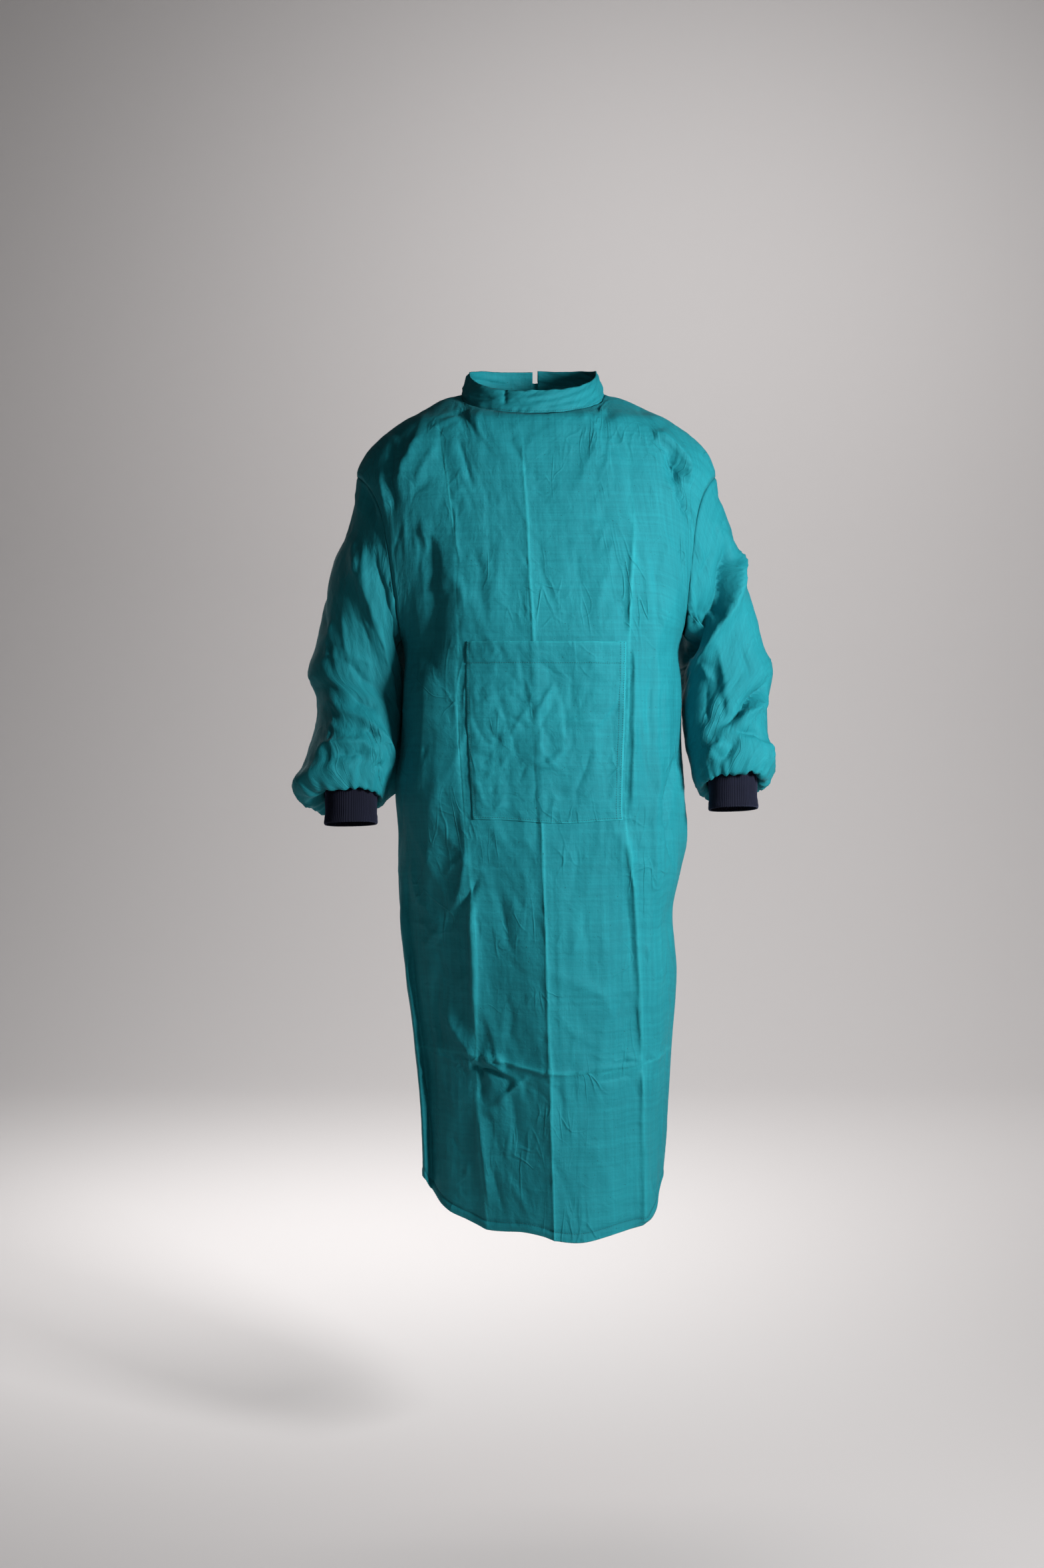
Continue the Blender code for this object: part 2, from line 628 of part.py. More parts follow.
def tie(row, collection, cutters, surface):
    """A tape tie, joined into one solid."""
    place = tie_place(row)
    knot = box(row.name, KNOT, collection)
    knot.matrix_world = place @ Matrix.Translation((0, KNOT.y / 2, 0))
    knot.data.materials.append(surface)
    bevel = knot.modifiers.new("Round", "BEVEL")
    bevel.width = KNOT_ROUNDING
    bevel.segments = 2
    layer = Vector((0, TAPE_WALL / 2, 0))
    for name, sign, reach in (("inner", 1, row.inner), ("outer", -1, row.outer)):
        tail = Vector((0, row.start, -KNOT.z / 4))
        tail_end = tail + Vector((sign * TAIL_SPREAD, row.lean, -row.tail))
        strips = (
            tape(f"{row.name}_{name}_end", layer, layer + Vector((sign * reach, 0, 0)), place, cutters),
            tape(f"{row.name}_{name}_tail", tail, tail_end, place, cutters),
        )
        for strip in strips:
            join = knot.modifiers.new(strip.name, "BOOLEAN")
            join.operation = "UNION"
            join.object = strip
    return knot


def build():
    """Remove what the scene holds, and model the gown's pieces."""
    for old in list(bpy.data.objects):
        bpy.data.objects.remove(old, do_unlink=True)
    gown = bpy.data.collections.new("surgical_gown")
    cutters = bpy.data.collections.new("tie_parts")
    for collection in (gown, cutters):
        bpy.context.scene.collection.children.link(collection)

    front = front_grid()
    backs = {"right": back_grid(-1), "left": back_grid(1)}
    cloth("front", front, CLOTH, gown, material("front_cotton", TEAL, 0.8))
    cloth("back_left", backs["left"], CLOTH, gown, material("back_left_cotton", TEAL, 0.8))
    cloth("back_right", backs["right"][::-1], CLOTH, gown, material("back_right_cotton", TEAL, 0.8))
    cloth("collar", collar_rings(), BAND, gown, material("collar_cotton", TEAL, 0.8), inward=True)
    cloth("pocket", pocket_grid(front), CLOTH, gown, material("pocket_cotton", TEAL, 0.8))
    for name in ("left", "right"):
        rings = sleeve_rings(name, armhole(name, front, backs[name]))
        knit = cuff_rings(name)
        if name == "right":
            rings, knit = rings[::-1], knit[::-1]
        sleeve_cotton = material(f"sleeve_{name}_cotton", TEAL, 0.8)
        cloth(f"sleeve_{name}", rings, CLOTH, gown, sleeve_cotton, round_about=True, inward=True)
        rib_knit = material(f"cuff_{name}_knit", NAVY, 0.9)
        cloth(f"cuff_{name}", knit, KNIT, gown, rib_knit, round_about=True, inward=True)
    for row in TIES:
        tie(row, gown, cutters, material(f"{row.name}_tape", TEAL, 0.8))


build()
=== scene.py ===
"""Looks of a surgical gown, hollow, as it hangs when worn.

Each cloth piece is a fine grid on the same form as its solid, shaped by listed folds,
and given a thin wall. Metres, +Z up. The front faces -Y and the wearer's left is +X. Folds are in
millimetres, because they are small.
"""

from __future__ import annotations

import logging
import math
from collections.abc import Callable, Sequence
from dataclasses import dataclass, field
from enum import Enum
from typing import NamedTuple

import bpy
import numpy as np
from mathutils import Matrix, Vector


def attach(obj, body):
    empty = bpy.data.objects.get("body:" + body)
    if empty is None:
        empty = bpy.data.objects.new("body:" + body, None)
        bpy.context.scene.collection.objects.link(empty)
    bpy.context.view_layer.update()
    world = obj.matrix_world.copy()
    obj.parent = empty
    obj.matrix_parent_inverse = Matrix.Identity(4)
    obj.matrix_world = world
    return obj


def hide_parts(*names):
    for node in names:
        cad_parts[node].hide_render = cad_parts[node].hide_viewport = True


Socket = bpy.types.NodeSocket
Triple = tuple[float, float, float]

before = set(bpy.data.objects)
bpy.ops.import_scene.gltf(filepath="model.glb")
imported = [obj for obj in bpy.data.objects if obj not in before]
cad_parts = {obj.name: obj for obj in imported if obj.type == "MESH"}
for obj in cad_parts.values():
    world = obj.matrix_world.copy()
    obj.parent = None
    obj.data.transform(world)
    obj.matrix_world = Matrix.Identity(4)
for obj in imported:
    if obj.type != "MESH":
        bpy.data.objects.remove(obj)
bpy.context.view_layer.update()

LOG = logging.getLogger("gown")
MM = 0.001
MM_IN_METRE = 1000
CLOTH_WALL = 0.0011
SEAM_GAP = 0.0004  # between pieces that are sewn to each other
HEM_FOLD = 0.0135  # height of the folded hem
STITCH_ROW = 0.003  # from a sewn edge to its stitches
SEAM_SINK = 0.0012  # how far a seam draws the cloth in
SEAM_REACH = 0.003  # how far from the seam that dies away
HEM_RISE = 0.0006  # how much thicker the folded hem is
EDGE_RAMP = 0.001  # over how much a hem's step rises
STATION_ROW = 0.45  # the row below the underarm on which the panels' columns are spaced
UPPER_LENGTH = 0.36  # of the panels, above the underarm
FRONT_LENGTH = 0.86  # of the front, below the underarm
BACK_LENGTH = 0.81  # of the backs, below the underarm
FINENESS = 1.0  # how much wider the grids' spacing is while trying things


# ---- The form: the same tables as the solids ----


class Section(NamedTuple):
    """One height of the body: half widths to the wearer's right and left, depths to front and back."""

    z: float
    right: float
    left: float
    front: float
    back: float


class CreaseAt(NamedTuple):
    """Where the three pressed creases of the front lie at a height."""

    z: float
    right: float
    middle: float
    left: float


class LeanAt(NamedTuple):
    """How far the front falls back at a height, in millimetres, at five places from right to left."""

    z: float
    right_flank: float
    right_crease: float
    middle: float
    left_crease: float
    left_flank: float


class HemAt(NamedTuple):
    """The front's lower edge."""

    x: float
    z: float


class Ring(NamedTuple):
    """A sleeve's section: outermost and innermost point, the y of its middle, half depth and tilt."""

    outer_x: float
    outer_z: float
    inner_x: float
    inner_z: float
    y: float
    depth: float
    lift: float


class Side(Enum):
    """A side of the gown, as the wearer names it."""

    RIGHT = -1
    LEFT = 1

    @property
    def label(self) -> str:
        """Its name in lower case."""
        return self.name.lower()


class Face(Enum):
    """Front or back of the body."""

    FRONT = -1
    BACK = 1


class Profile:
    """A smooth curve through a few places and values."""

    def __init__(self, places: Sequence[float], values: Sequence[float]) -> None:
        """Sort the points and work out a slope at each.

        Args:
            places: Where the values are given, in any order.
            values: One value for each place.
        """
        order = np.argsort(places)
        self.places = np.asarray(places, float)[order]
        self.values = np.asarray(values, float)[order]
        self.slopes = np.gradient(self.values, self.places)

    def __call__(self, at: np.ndarray | float) -> np.ndarray:
        """Read the curve.

        Args:
            at: The places to read it at; past its ends it stays level.

        Returns:
            The values there.
        """
        at = np.clip(np.asarray(at, float), self.places[0], self.places[-1])
        k = np.clip(np.searchsorted(self.places, at) - 1, 0, len(self.places) - 2)
        span = self.places[k + 1] - self.places[k]
        t = (at - self.places[k]) / span
        ends = (1 + 2 * t) * (1 - t) ** 2 * self.values[k] + t * t * (3 - 2 * t) * self.values[k + 1]
        return ends + t * (1 - t) * span * ((1 - t) * self.slopes[k] - t * self.slopes[k + 1])


@dataclass
class Form:
    """The worn shape that all panels lie on."""

    underarm_z: float = -0.350
    shoulder_tip_z: float = -0.112
    hem_level_z: float = -1.200
    hem_side_z: float = -1.152
    hem_back_z: float = -1.158
    roundness: float = 2.6
    neck_x: float = -0.004
    neck_half_width: float = 0.105
    neck_front: float = 0.088
    neck_back: float = 0.085
    neck_front_z: float = -0.030
    neck_side_z: float = 0.0075
    neck_back_z: float = 0.018
    neck_dip: float = 0.85
    neck_fade: float = 6.0
    armhole_slope: float = 0.45
    armhole_tip: float = 8.0
    flank_crowding: float = 1.7
    crease_width: float = 0.012
    wall: float = 0.0020
    sections: tuple[Section, ...] = (
        Section(0.018, 0.094, 0.086, 0.004, 0.085),
        Section(0.012, 0.107, 0.0985, 0.006, 0.0875),
        Section(0.0075, 0.109, 0.101, 0.010, 0.090),
        Section(0.000, 0.134, 0.126, 0.027, 0.095),
        Section(-0.011, 0.156, 0.151, 0.045, 0.099),
        Section(-0.021, 0.1735, 0.1715, 0.064, 0.104),
        Section(-0.032, 0.1945, 0.1935, 0.087, 0.108),
        Section(-0.045, 0.2135, 0.2145, 0.096, 0.113),
        Section(-0.059, 0.2295, 0.2325, 0.101, 0.118),
        Section(-0.078, 0.2480, 0.2510, 0.107, 0.123),
        Section(-0.098, 0.259, 0.261, 0.112, 0.127),
        Section(-0.112, 0.263, 0.265, 0.115, 0.129),
        Section(-0.167, 0.258, 0.263, 0.123, 0.132),
        Section(-0.215, 0.250, 0.257, 0.128, 0.133),
        Section(-0.310, 0.220, 0.233, 0.134, 0.130),
        Section(-0.350, 0.197, 0.213, 0.135, 0.126),
        Section(-0.430, 0.195, 0.2145, 0.135, 0.119),
        Section(-0.500, 0.198, 0.2145, 0.135, 0.117),
        Section(-0.570, 0.206, 0.219, 0.136, 0.119),
        Section(-0.650, 0.201, 0.222, 0.136, 0.122),
        Section(-0.700, 0.202, 0.214, 0.134, 0.124),
        Section(-0.750, 0.200, 0.2035, 0.131, 0.125),
        Section(-0.845, 0.192, 0.2080, 0.128, 0.126),
        Section(-0.945, 0.1800, 0.2030, 0.125, 0.126),
        Section(-1.040, 0.1700, 0.1980, 0.122, 0.125),
        Section(-1.143, 0.1650, 0.1905, 0.120, 0.122),
        Section(-1.230, 0.1640, 0.1890, 0.119, 0.120),
    )
    creases: tuple[CreaseAt, ...] = (
        CreaseAt(0.010, -0.1405, -0.024, 0.1285),
        CreaseAt(-0.040, -0.1390, -0.022, 0.1290),
        CreaseAt(-0.186, -0.1182, -0.0137, 0.1385),
        CreaseAt(-0.350, -0.1112, -0.0038, 0.1330),
        CreaseAt(-0.455, -0.1112, 0.0010, 0.1320),
        CreaseAt(-0.610, -0.1020, 0.0072, 0.1280),
        CreaseAt(-0.740, -0.0905, 0.0120, 0.1430),
        CreaseAt(-0.910, -0.0875, 0.0178, 0.1510),
        CreaseAt(-1.000, -0.0870, 0.0208, 0.1535),
        CreaseAt(-1.220, -0.0690, 0.0260, 0.1570),
    )
    crease_heights: dict[str, float] = field(
        default_factory=lambda: {"right": 0.006, "middle": 0.003, "left": 0.005}
    )
    hem: tuple[HemAt, ...] = (
        HemAt(-0.164, -1.152),
        HemAt(-0.129, -1.184),
        HemAt(-0.099, -1.197),
        HemAt(-0.070, -1.2065),
        HemAt(-0.014, -1.211),
        HemAt(0.029, -1.222),
        HemAt(0.057, -1.225),
        HemAt(0.128, -1.214),
        HemAt(0.161, -1.2075),
        HemAt(0.176, -1.189),
        HemAt(0.190, -1.152),
    )

    def __post_init__(self) -> None:
        """Make the smooth curves through the tables."""
        heights = [row.z for row in self.sections]
        self.curves = {
            name: Profile(heights, [getattr(row, name) for row in self.sections])
            for name in ("right", "left", "front", "back")
        }
        places = [row.z for row in self.creases]
        self.crease_curves = {
            name: Profile(places, [getattr(row, name) for row in self.creases])
            for name in ("right", "middle", "left")
        }
        self.hem_curve = Profile([row.x for row in self.hem], [row.z for row in self.hem])

    def half_width(self, side: Side, z: np.ndarray | float) -> np.ndarray:
        """The body's half width on one side."""
        return self.curves[side.label](z)

    def depth_y(self, x: np.ndarray, z: np.ndarray, face: Face) -> np.ndarray:
        """The body's surface.

        Args:
            x: Across, in metres.
            z: Height.
            face: Front or back.

        Returns:
            y of the surface at each place.
        """
        half = np.where(x < 0, self.curves["right"](z), self.curves["left"](z))
        reach = np.minimum(np.abs(x) / half, 1.0)
        depth = self.curves[face.name.lower()](z)
        return face.value * depth * np.sqrt(1 - reach**self.roundness)

    def shoulder_z(self, x: np.ndarray) -> np.ndarray:
        """Height of the shoulder line, found by halving.

        Args:
            x: Across, in metres.

        Returns:
            z at each x.
        """
        low = np.full(np.shape(x), self.shoulder_tip_z)
        high = np.full(np.shape(x), self.neck_side_z)
        for _ in range(40):
            z = (low + high) / 2
            half = np.where(x < 0, self.curves["right"](z), self.curves["left"](z))
            beyond = half < np.abs(x)
            low, high = np.where(beyond, low, z), np.where(beyond, z, high)
        return (low + high) / 2

    def neck_points(self, angle: np.ndarray) -> np.ndarray:
        """Points of the neckline.

        Args:
            angle: 0 is the front, +90 degrees the wearer's left, 180 the nape.

        Returns:
            An array of points, one row for each angle.
        """
        forward = np.cos(angle)
        in_front = forward > 0
        deep = np.where(in_front, self.neck_front, self.neck_back)
        end_z = np.where(in_front, self.neck_front_z, self.neck_back_z)
        z = self.neck_side_z + (end_z - self.neck_side_z) * np.abs(forward) ** self.neck_dip
        return np.stack([self.neck_x + self.neck_half_width * np.sin(angle), -deep * forward, z], -1)

    def nape_angle(self, x: np.ndarray | float) -> np.ndarray:
        """Where the back of the neckline is at x, between 180 and -180 degrees."""
        angle = math.pi - np.arcsin((np.asarray(x) - self.neck_x) / self.neck_half_width)
        return np.where(np.asarray(x) >= 0, angle, angle - 2 * math.pi)

    def crease_rise(self, x: np.ndarray, z: np.ndarray) -> np.ndarray:
        """How far the pressed creases lift the front.

        Args:
            x: Across, in metres.
            z: Height.

        Returns:
            The lift at each place, in metres.
        """
        rise = np.zeros(np.broadcast(x, z).shape)
        for name, height in self.crease_heights.items():
            rise += height * np.exp(-np.abs(x - self.crease_curves[name](z)) / self.crease_width)
        return rise


FORM = Form()


# ---- Cloth grids, folds and crumples ----


def new_object(name: str, data: bpy.types.ID) -> bpy.types.Object:
    """Put a mesh, light or camera into the scene as an object.

    Args:
        name: The object's name.
        data: What it shows.

    Returns:
        The object.
    """
    made = bpy.data.objects.new(name, data)
    bpy.context.scene.collection.objects.link(made)
    return made


def smooth_step(t: np.ndarray) -> np.ndarray:
    """A soft ramp from 0 to 1."""
    t = np.clip(t, 0, 1)
    return t * t * (3 - 2 * t)


def bell(away: np.ndarray, width: float) -> np.ndarray:
    """A soft ridge: 1 at 0, falling away to both sides over a width."""
    return np.exp(-((away / width) ** 2))


def spline(points: np.ndarray, steps: int) -> np.ndarray:
    """A smooth curve through points.

    Args:
        points: The points, one in each row.
        steps: Points on each stretch between two of them.

    Returns:
        Points along the curve.
    """
    padded = np.vstack([2 * points[0] - points[1], points, 2 * points[-1] - points[-2]])
    t = np.linspace(0, 1, steps, endpoint=False)[:, None]
    made = []
    for k in range(len(points) - 1):
        a, b, c, d = padded[k : k + 4]
        bend = (2 * a - 5 * b + 4 * c - d) * t * t + (3 * b - a - 3 * c + d) * t**3
        made.append(0.5 * (2 * b + (c - a) * t + bend))
    return np.vstack([*made, points[-1:]])


def lattice_noise(u: np.ndarray, v: np.ndarray, seed: int) -> np.ndarray:
    """Smooth noise of about -1 to 1, with one bump in each unit square.

    Args:
        u: Places one way.
        v: Places the other way.
        seed: Which pattern.

    Returns:
        The noise at each place.
    """
    size = 256
    table = np.random.default_rng(seed).uniform(-1, 1, (size, size))
    iu, iv = np.floor(u).astype(int), np.floor(v).astype(int)
    fu, fv = u - iu, v - iv
    fu, fv = fu**3 * (fu * (6 * fu - 15) + 10), fv**3 * (fv * (6 * fv - 15) + 10)
    low_u, low_v, high_u, high_v = iu % size, iv % size, (iu + 1) % size, (iv + 1) % size
    a, b, c, d = table[low_u, low_v], table[high_u, low_v], table[low_u, high_v], table[high_u, high_v]
    return (a * (1 - fu) + b * fu) * (1 - fv) + (c * (1 - fu) + d * fu) * fv


class Shape(Enum):
    """How a fold's height falls away from its line: the exponent of its profile."""

    SOFT = 1.25
    PRESSED = 1.0


class Fold(NamedTuple):
    """A ridge, or with a height below 0 a trough, along a line of (x, z) places on one face.

    Places, height and widths are in millimetres. right and left are its widths on the right and left hand
    of someone who walks along the line, and fade is the share of its length over which each end dies away.
    """

    line: tuple[tuple[float, float], ...]
    height: float
    right: float
    left: float
    shape: Shape = Shape.SOFT
    fade: tuple[float, float] = (0.35, 0.35)


class Scatter(NamedTuple):
    """Short creases that lie about on the cloth, as it keeps from being folded and worn.

    Lengths and widths are in metres, and lean is how far their directions spread, in degrees, from
    the way of the grid's rows. They die away over edge metres at the cloth's border.
    """

    count: int
    height: float
    length: tuple[float, float]
    width: tuple[float, float]
    lean: float
    seed: int
    edge: float = 0.02


class Grid:
    """A grid of points, columns by rows, that becomes one cloth shell."""

    finest = 3.4  # the narrowest fold that the grids can show, in millimetres

    def __init__(self, points: np.ndarray, centre: np.ndarray, closed: bool = False) -> None:
        """Keep the points and find which way is out.

        Args:
            points: Columns by rows by 3.
            centre: A point, or one for each grid point, that the outside faces away from.
            closed: Whether the last row joins the first.
        """
        self.points = points
        self.closed = closed
        self.facing = 1.0
        outward = (self.normals() * (points - centre)).sum(-1)
        if np.median(outward) < 0:
            self.facing = -1.0
        # paler along pressed creases and edges, partly wear and partly a painted highlight; darker along the
        # hem's stitches
        self.press = np.zeros(points.shape[:2])

    def normals(self) -> np.ndarray:
        """The outward direction at each point.

        Returns:
            Unit vectors, columns by rows by 3.
        """
        across = np.gradient(self.points, axis=0)
        if self.closed:
            down = (np.roll(self.points, -1, 1) - np.roll(self.points, 1, 1)) / 2
        else:
            down = np.gradient(self.points, axis=1)
        normal = np.cross(across, down) * self.facing
        return normal / np.maximum(np.linalg.norm(normal, axis=-1, keepdims=True), 1e-9)

    def raise_by(self, height: np.ndarray) -> None:
        """Move each point out along its normal, by a height in metres."""
        self.points = self.points + self.normals() * height[..., None]

    def lengths(self) -> tuple[np.ndarray, np.ndarray]:
        """Distances along the cloth, in metres.

        Returns:
            Across from the first column, and down from the first row, each columns by rows.
        """
        across = np.linalg.norm(np.diff(self.points, axis=0), axis=-1)
        down = np.linalg.norm(np.diff(self.points, axis=1), axis=-1)
        u = np.vstack([np.zeros((1, across.shape[1])), np.cumsum(across, 0)])
        v = np.hstack([np.zeros((down.shape[0], 1)), np.cumsum(down, 1)])
        return u, v

    def locate(self, line: np.ndarray, face: Face) -> np.ndarray:
        """The surface's points at (x, z) places.

        Args:
            line: The places, one in each row.
            face: Whether to look from the front or the back.

        Returns:
            For each place, the nearest grid point that faces that way.
        """
        normal = self.normals().reshape(-1, 3)
        points = self.points.reshape(-1, 3)[normal[:, 1] * face.value > 0.02]
        flat = points[:, [0, 2]]
        nearest = [int(np.argmin(((flat - place) ** 2).sum(1))) for place in line]
        return points[nearest]

    def fold(self, folds: Sequence[Fold], face: Face, gain: float = 1.0, narrow: float = 1.0) -> None:
        """Lay folds on one face.

        Args:
            folds: The folds.
            face: Which side they are seen from.
            gain: How many times higher to make them.
            narrow: What their widths are multiplied by.
        """
        normal = self.normals()
        height = np.zeros(self.points.shape[:2])
        for item in folds:
            line = self.locate(spline(np.array(item.line) / MM_IN_METRE, 4), face)
            right, left = (max(width * narrow, self.finest) for width in (item.right, item.left))
            height += self.fold_height(item._replace(right=right, left=left), spline(line, 3), normal)
        self.raise_by(height * gain)

    def fold_height(self, item: Fold, line: np.ndarray, normal: np.ndarray) -> np.ndarray:
        """How far one fold moves each point.

        Args:
            item: The fold.
            line: Its points in space.
            normal: The grid's outward directions.

        Returns:
            Heights in metres.
        """
        points = self.points
        reach = 3.2 * max(item.right, item.left) * MM
        near = ((points > line.min(0) - reach) & (points < line.max(0) + reach)).all(-1)
        height = np.zeros(points.shape[:2])
        if not near.any():
            return height
        at, out = points[near], normal[near]
        starts, ways = line[:-1], np.diff(line, axis=0)
        length = np.maximum(np.linalg.norm(ways, axis=1), 1e-7)
        along = ((at[:, None] - starts) * ways).sum(-1) / length**2
        foot = starts + np.clip(along, 0, 1)[..., None] * ways
        away = np.linalg.norm(at[:, None] - foot, axis=-1)
        best = away.argmin(1)
        pick = np.arange(len(at))
        offset = at - foot[pick, best]
        hand = (np.cross(out, ways[best]) * offset).sum(-1)
        width = np.where(hand > 0, item.left, item.right) * MM
        distance = away[pick, best]
        total = np.concatenate([[0], np.cumsum(length)])
        share = (total[best] + np.clip(along[pick, best], 0, 1) * length[best]) / total[-1]
        ends = smooth_step(share / max(item.fade[0], 1e-3))
        ends *= smooth_step((1 - share) / max(item.fade[1], 1e-3))
        profile = np.exp(-((distance / width) ** item.shape.value))
        height[near] = item.height * MM * profile * ends
        return height

    def crumple(self, amount: float, size: float, stretch: float, seed: int) -> None:
        """Cover the cloth with small uneven ridges.

        Args:
            amount: Height of the largest ones, in metres.
            size: Their spacing across the cloth, in metres.
            stretch: How many times longer they are down the cloth.
            seed: Which pattern.
        """
        u, v = self.lengths()
        wander = lattice_noise(u / (2 * size), v / (2 * size * stretch), seed) * size * 0.7
        height = np.zeros(u.shape)
        for octave in range(3):
            scale = size / 2**octave
            bump = lattice_noise((u + wander) / scale, (v - wander) / (scale * stretch), seed + octave)
            ridge = 1 - np.abs(bump) * 2
            height += amount * 0.5**octave * (0.6 * ridge + 0.4 * bump)
        self.raise_by(height * self.edge_mask(0.006))

    def scatter(self, kind: Scatter) -> None:
        """Press short creases into the cloth.

        Args:
            kind: How many, how large and which pattern.
        """
        u, v = self.lengths()
        rng = np.random.default_rng(kind.seed)
        girth = float(v.max()) * (1 + 1 / v.shape[1])
        height = np.zeros(u.shape)
        for _ in range(kind.count):
            across = u - rng.uniform(0, u.max())
            down = v - rng.uniform(0, v.max())
            if self.closed:
                down = (down + girth / 2) % girth - girth / 2
            angle = math.radians(rng.normal(0, kind.lean))
            half = rng.uniform(*kind.length) / 2
            along = (across * math.sin(angle) + down * math.cos(angle)) / half
            bend = rng.uniform(-0.25, 0.25) * half * along**2
            away = across * math.cos(angle) - down * math.sin(angle) + bend
            wide = np.where(away > 0, rng.uniform(*kind.width), rng.uniform(*kind.width))
            near = np.abs(along) < 1.6
            size = rng.normal(0, kind.height)
            height[near] += (size * np.exp(-((np.abs(away) / wide) ** 1.15) - along**4))[near]
        self.raise_by(height * self.edge_mask(kind.edge))

    def edge_mask(self, width: float) -> np.ndarray:
        """A mask that keeps the grid's open edges still.

        Args:
            width: Over how much it rises, in metres.

        Returns:
            0 on the open edges, rising to 1.
        """
        u, v = self.lengths()
        mask = smooth_step(u / width) * smooth_step((u[-1:] - u) / width)
        if not self.closed:
            mask = mask * smooth_step(v / width) * smooth_step((v[:, -1:] - v) / width)
        return mask

    def to_object(self, name: str, wall: float, uv_origin: tuple[int, int] = (0, 0)) -> bpy.types.Object:
        """Make the shell.

        Args:
            name: The piece's name.
            wall: Its thickness in metres, added inside the points.
            uv_origin: The column and row where the weave's coordinates start.

        Returns:
            The mesh object, with UVs in metres along the cloth.
        """
        columns, rows = self.points.shape[:2]
        index = np.arange(columns * rows).reshape(columns, rows)
        if self.closed:
            index = np.hstack([index, index[:, :1]])
        corners = [index[:-1, :-1], index[1:, :-1], index[1:, 1:], index[:-1, 1:]]
        if self.facing < 0:
            corners.reverse()
        quads = np.stack(corners, -1).reshape(-1, 4)
        mesh = bpy.data.meshes.new(name)
        mesh.from_pydata(self.points.reshape(-1, 3).tolist(), [], quads.tolist())
        u, v = self.lengths()
        u = u - u[uv_origin[0]][None, :]
        v = v - v[:, uv_origin[1]][:, None]
        if self.closed:
            ends = v[:, -1:] + np.linalg.norm(self.points[:, -1:] - self.points[:, :1], axis=-1)
            u, v = np.hstack([u, u[:, :1]]), np.hstack([v, ends])
        loops = [(u[:-1, :-1], v[:-1, :-1]), (u[1:, :-1], v[1:, :-1]), (u[1:, 1:], v[1:, 1:])]
        loops.append((u[:-1, 1:], v[:-1, 1:]))
        if self.facing < 0:
            loops.reverse()
        pairs = np.stack([np.stack(pair, -1) for pair in loops], 2).reshape(-1, 2)
        layer = mesh.uv_layers.new(name="Cloth")
        layer.data.foreach_set("uv", pairs.astype(np.float32).ravel())
        # the paler lines along creases and edges: partly wear, partly a painted highlight
        press = mesh.attributes.new("press", "FLOAT", "POINT")
        press.data.foreach_set("value", self.press.astype(np.float32).ravel())
        mesh.shade_smooth()
        made = new_object(name, mesh)
        solid = made.modifiers.new("Wall", "SOLIDIFY")
        solid.thickness = wall
        solid.offset = -1
        return made


def even_stations(
    curve: Callable[[np.ndarray], np.ndarray], end: float, spacing: float, crowd: Sequence[float] = ()
) -> np.ndarray:
    """Parameters that are evenly spaced along a curve, closer together near some of them.

    Args:
        curve: Points for an array of parameters from 0 to end.
        end: The last parameter.
        spacing: Distance between neighbours, in metres.
        crowd: Parameters that neighbours crowd around, and which are all kept.

    Returns:
        The parameters, from 0 to end.
    """
    tries = np.linspace(0, end, 3001)
    steps = np.linalg.norm(np.diff(curve(tries), axis=0), axis=-1)
    length = np.concatenate([[0], np.cumsum(steps)])
    density = np.ones(len(tries))
    for place in crowd:
        away = length - np.interp(place, tries, length)
        density += 2.2 * bell(away, 0.008)
    weight = np.concatenate([[0], np.cumsum((density[1:] + density[:-1]) / 2 * np.diff(length))])
    count = max(8, int(weight[-1] / (spacing * FINENESS)))
    found = np.interp(np.linspace(0, weight[-1], count + 1), weight, tries)
    for place in crowd:
        found[int(np.argmin(np.abs(found - place)))] = place
    return np.unique(found)


# ---- Finishes ----


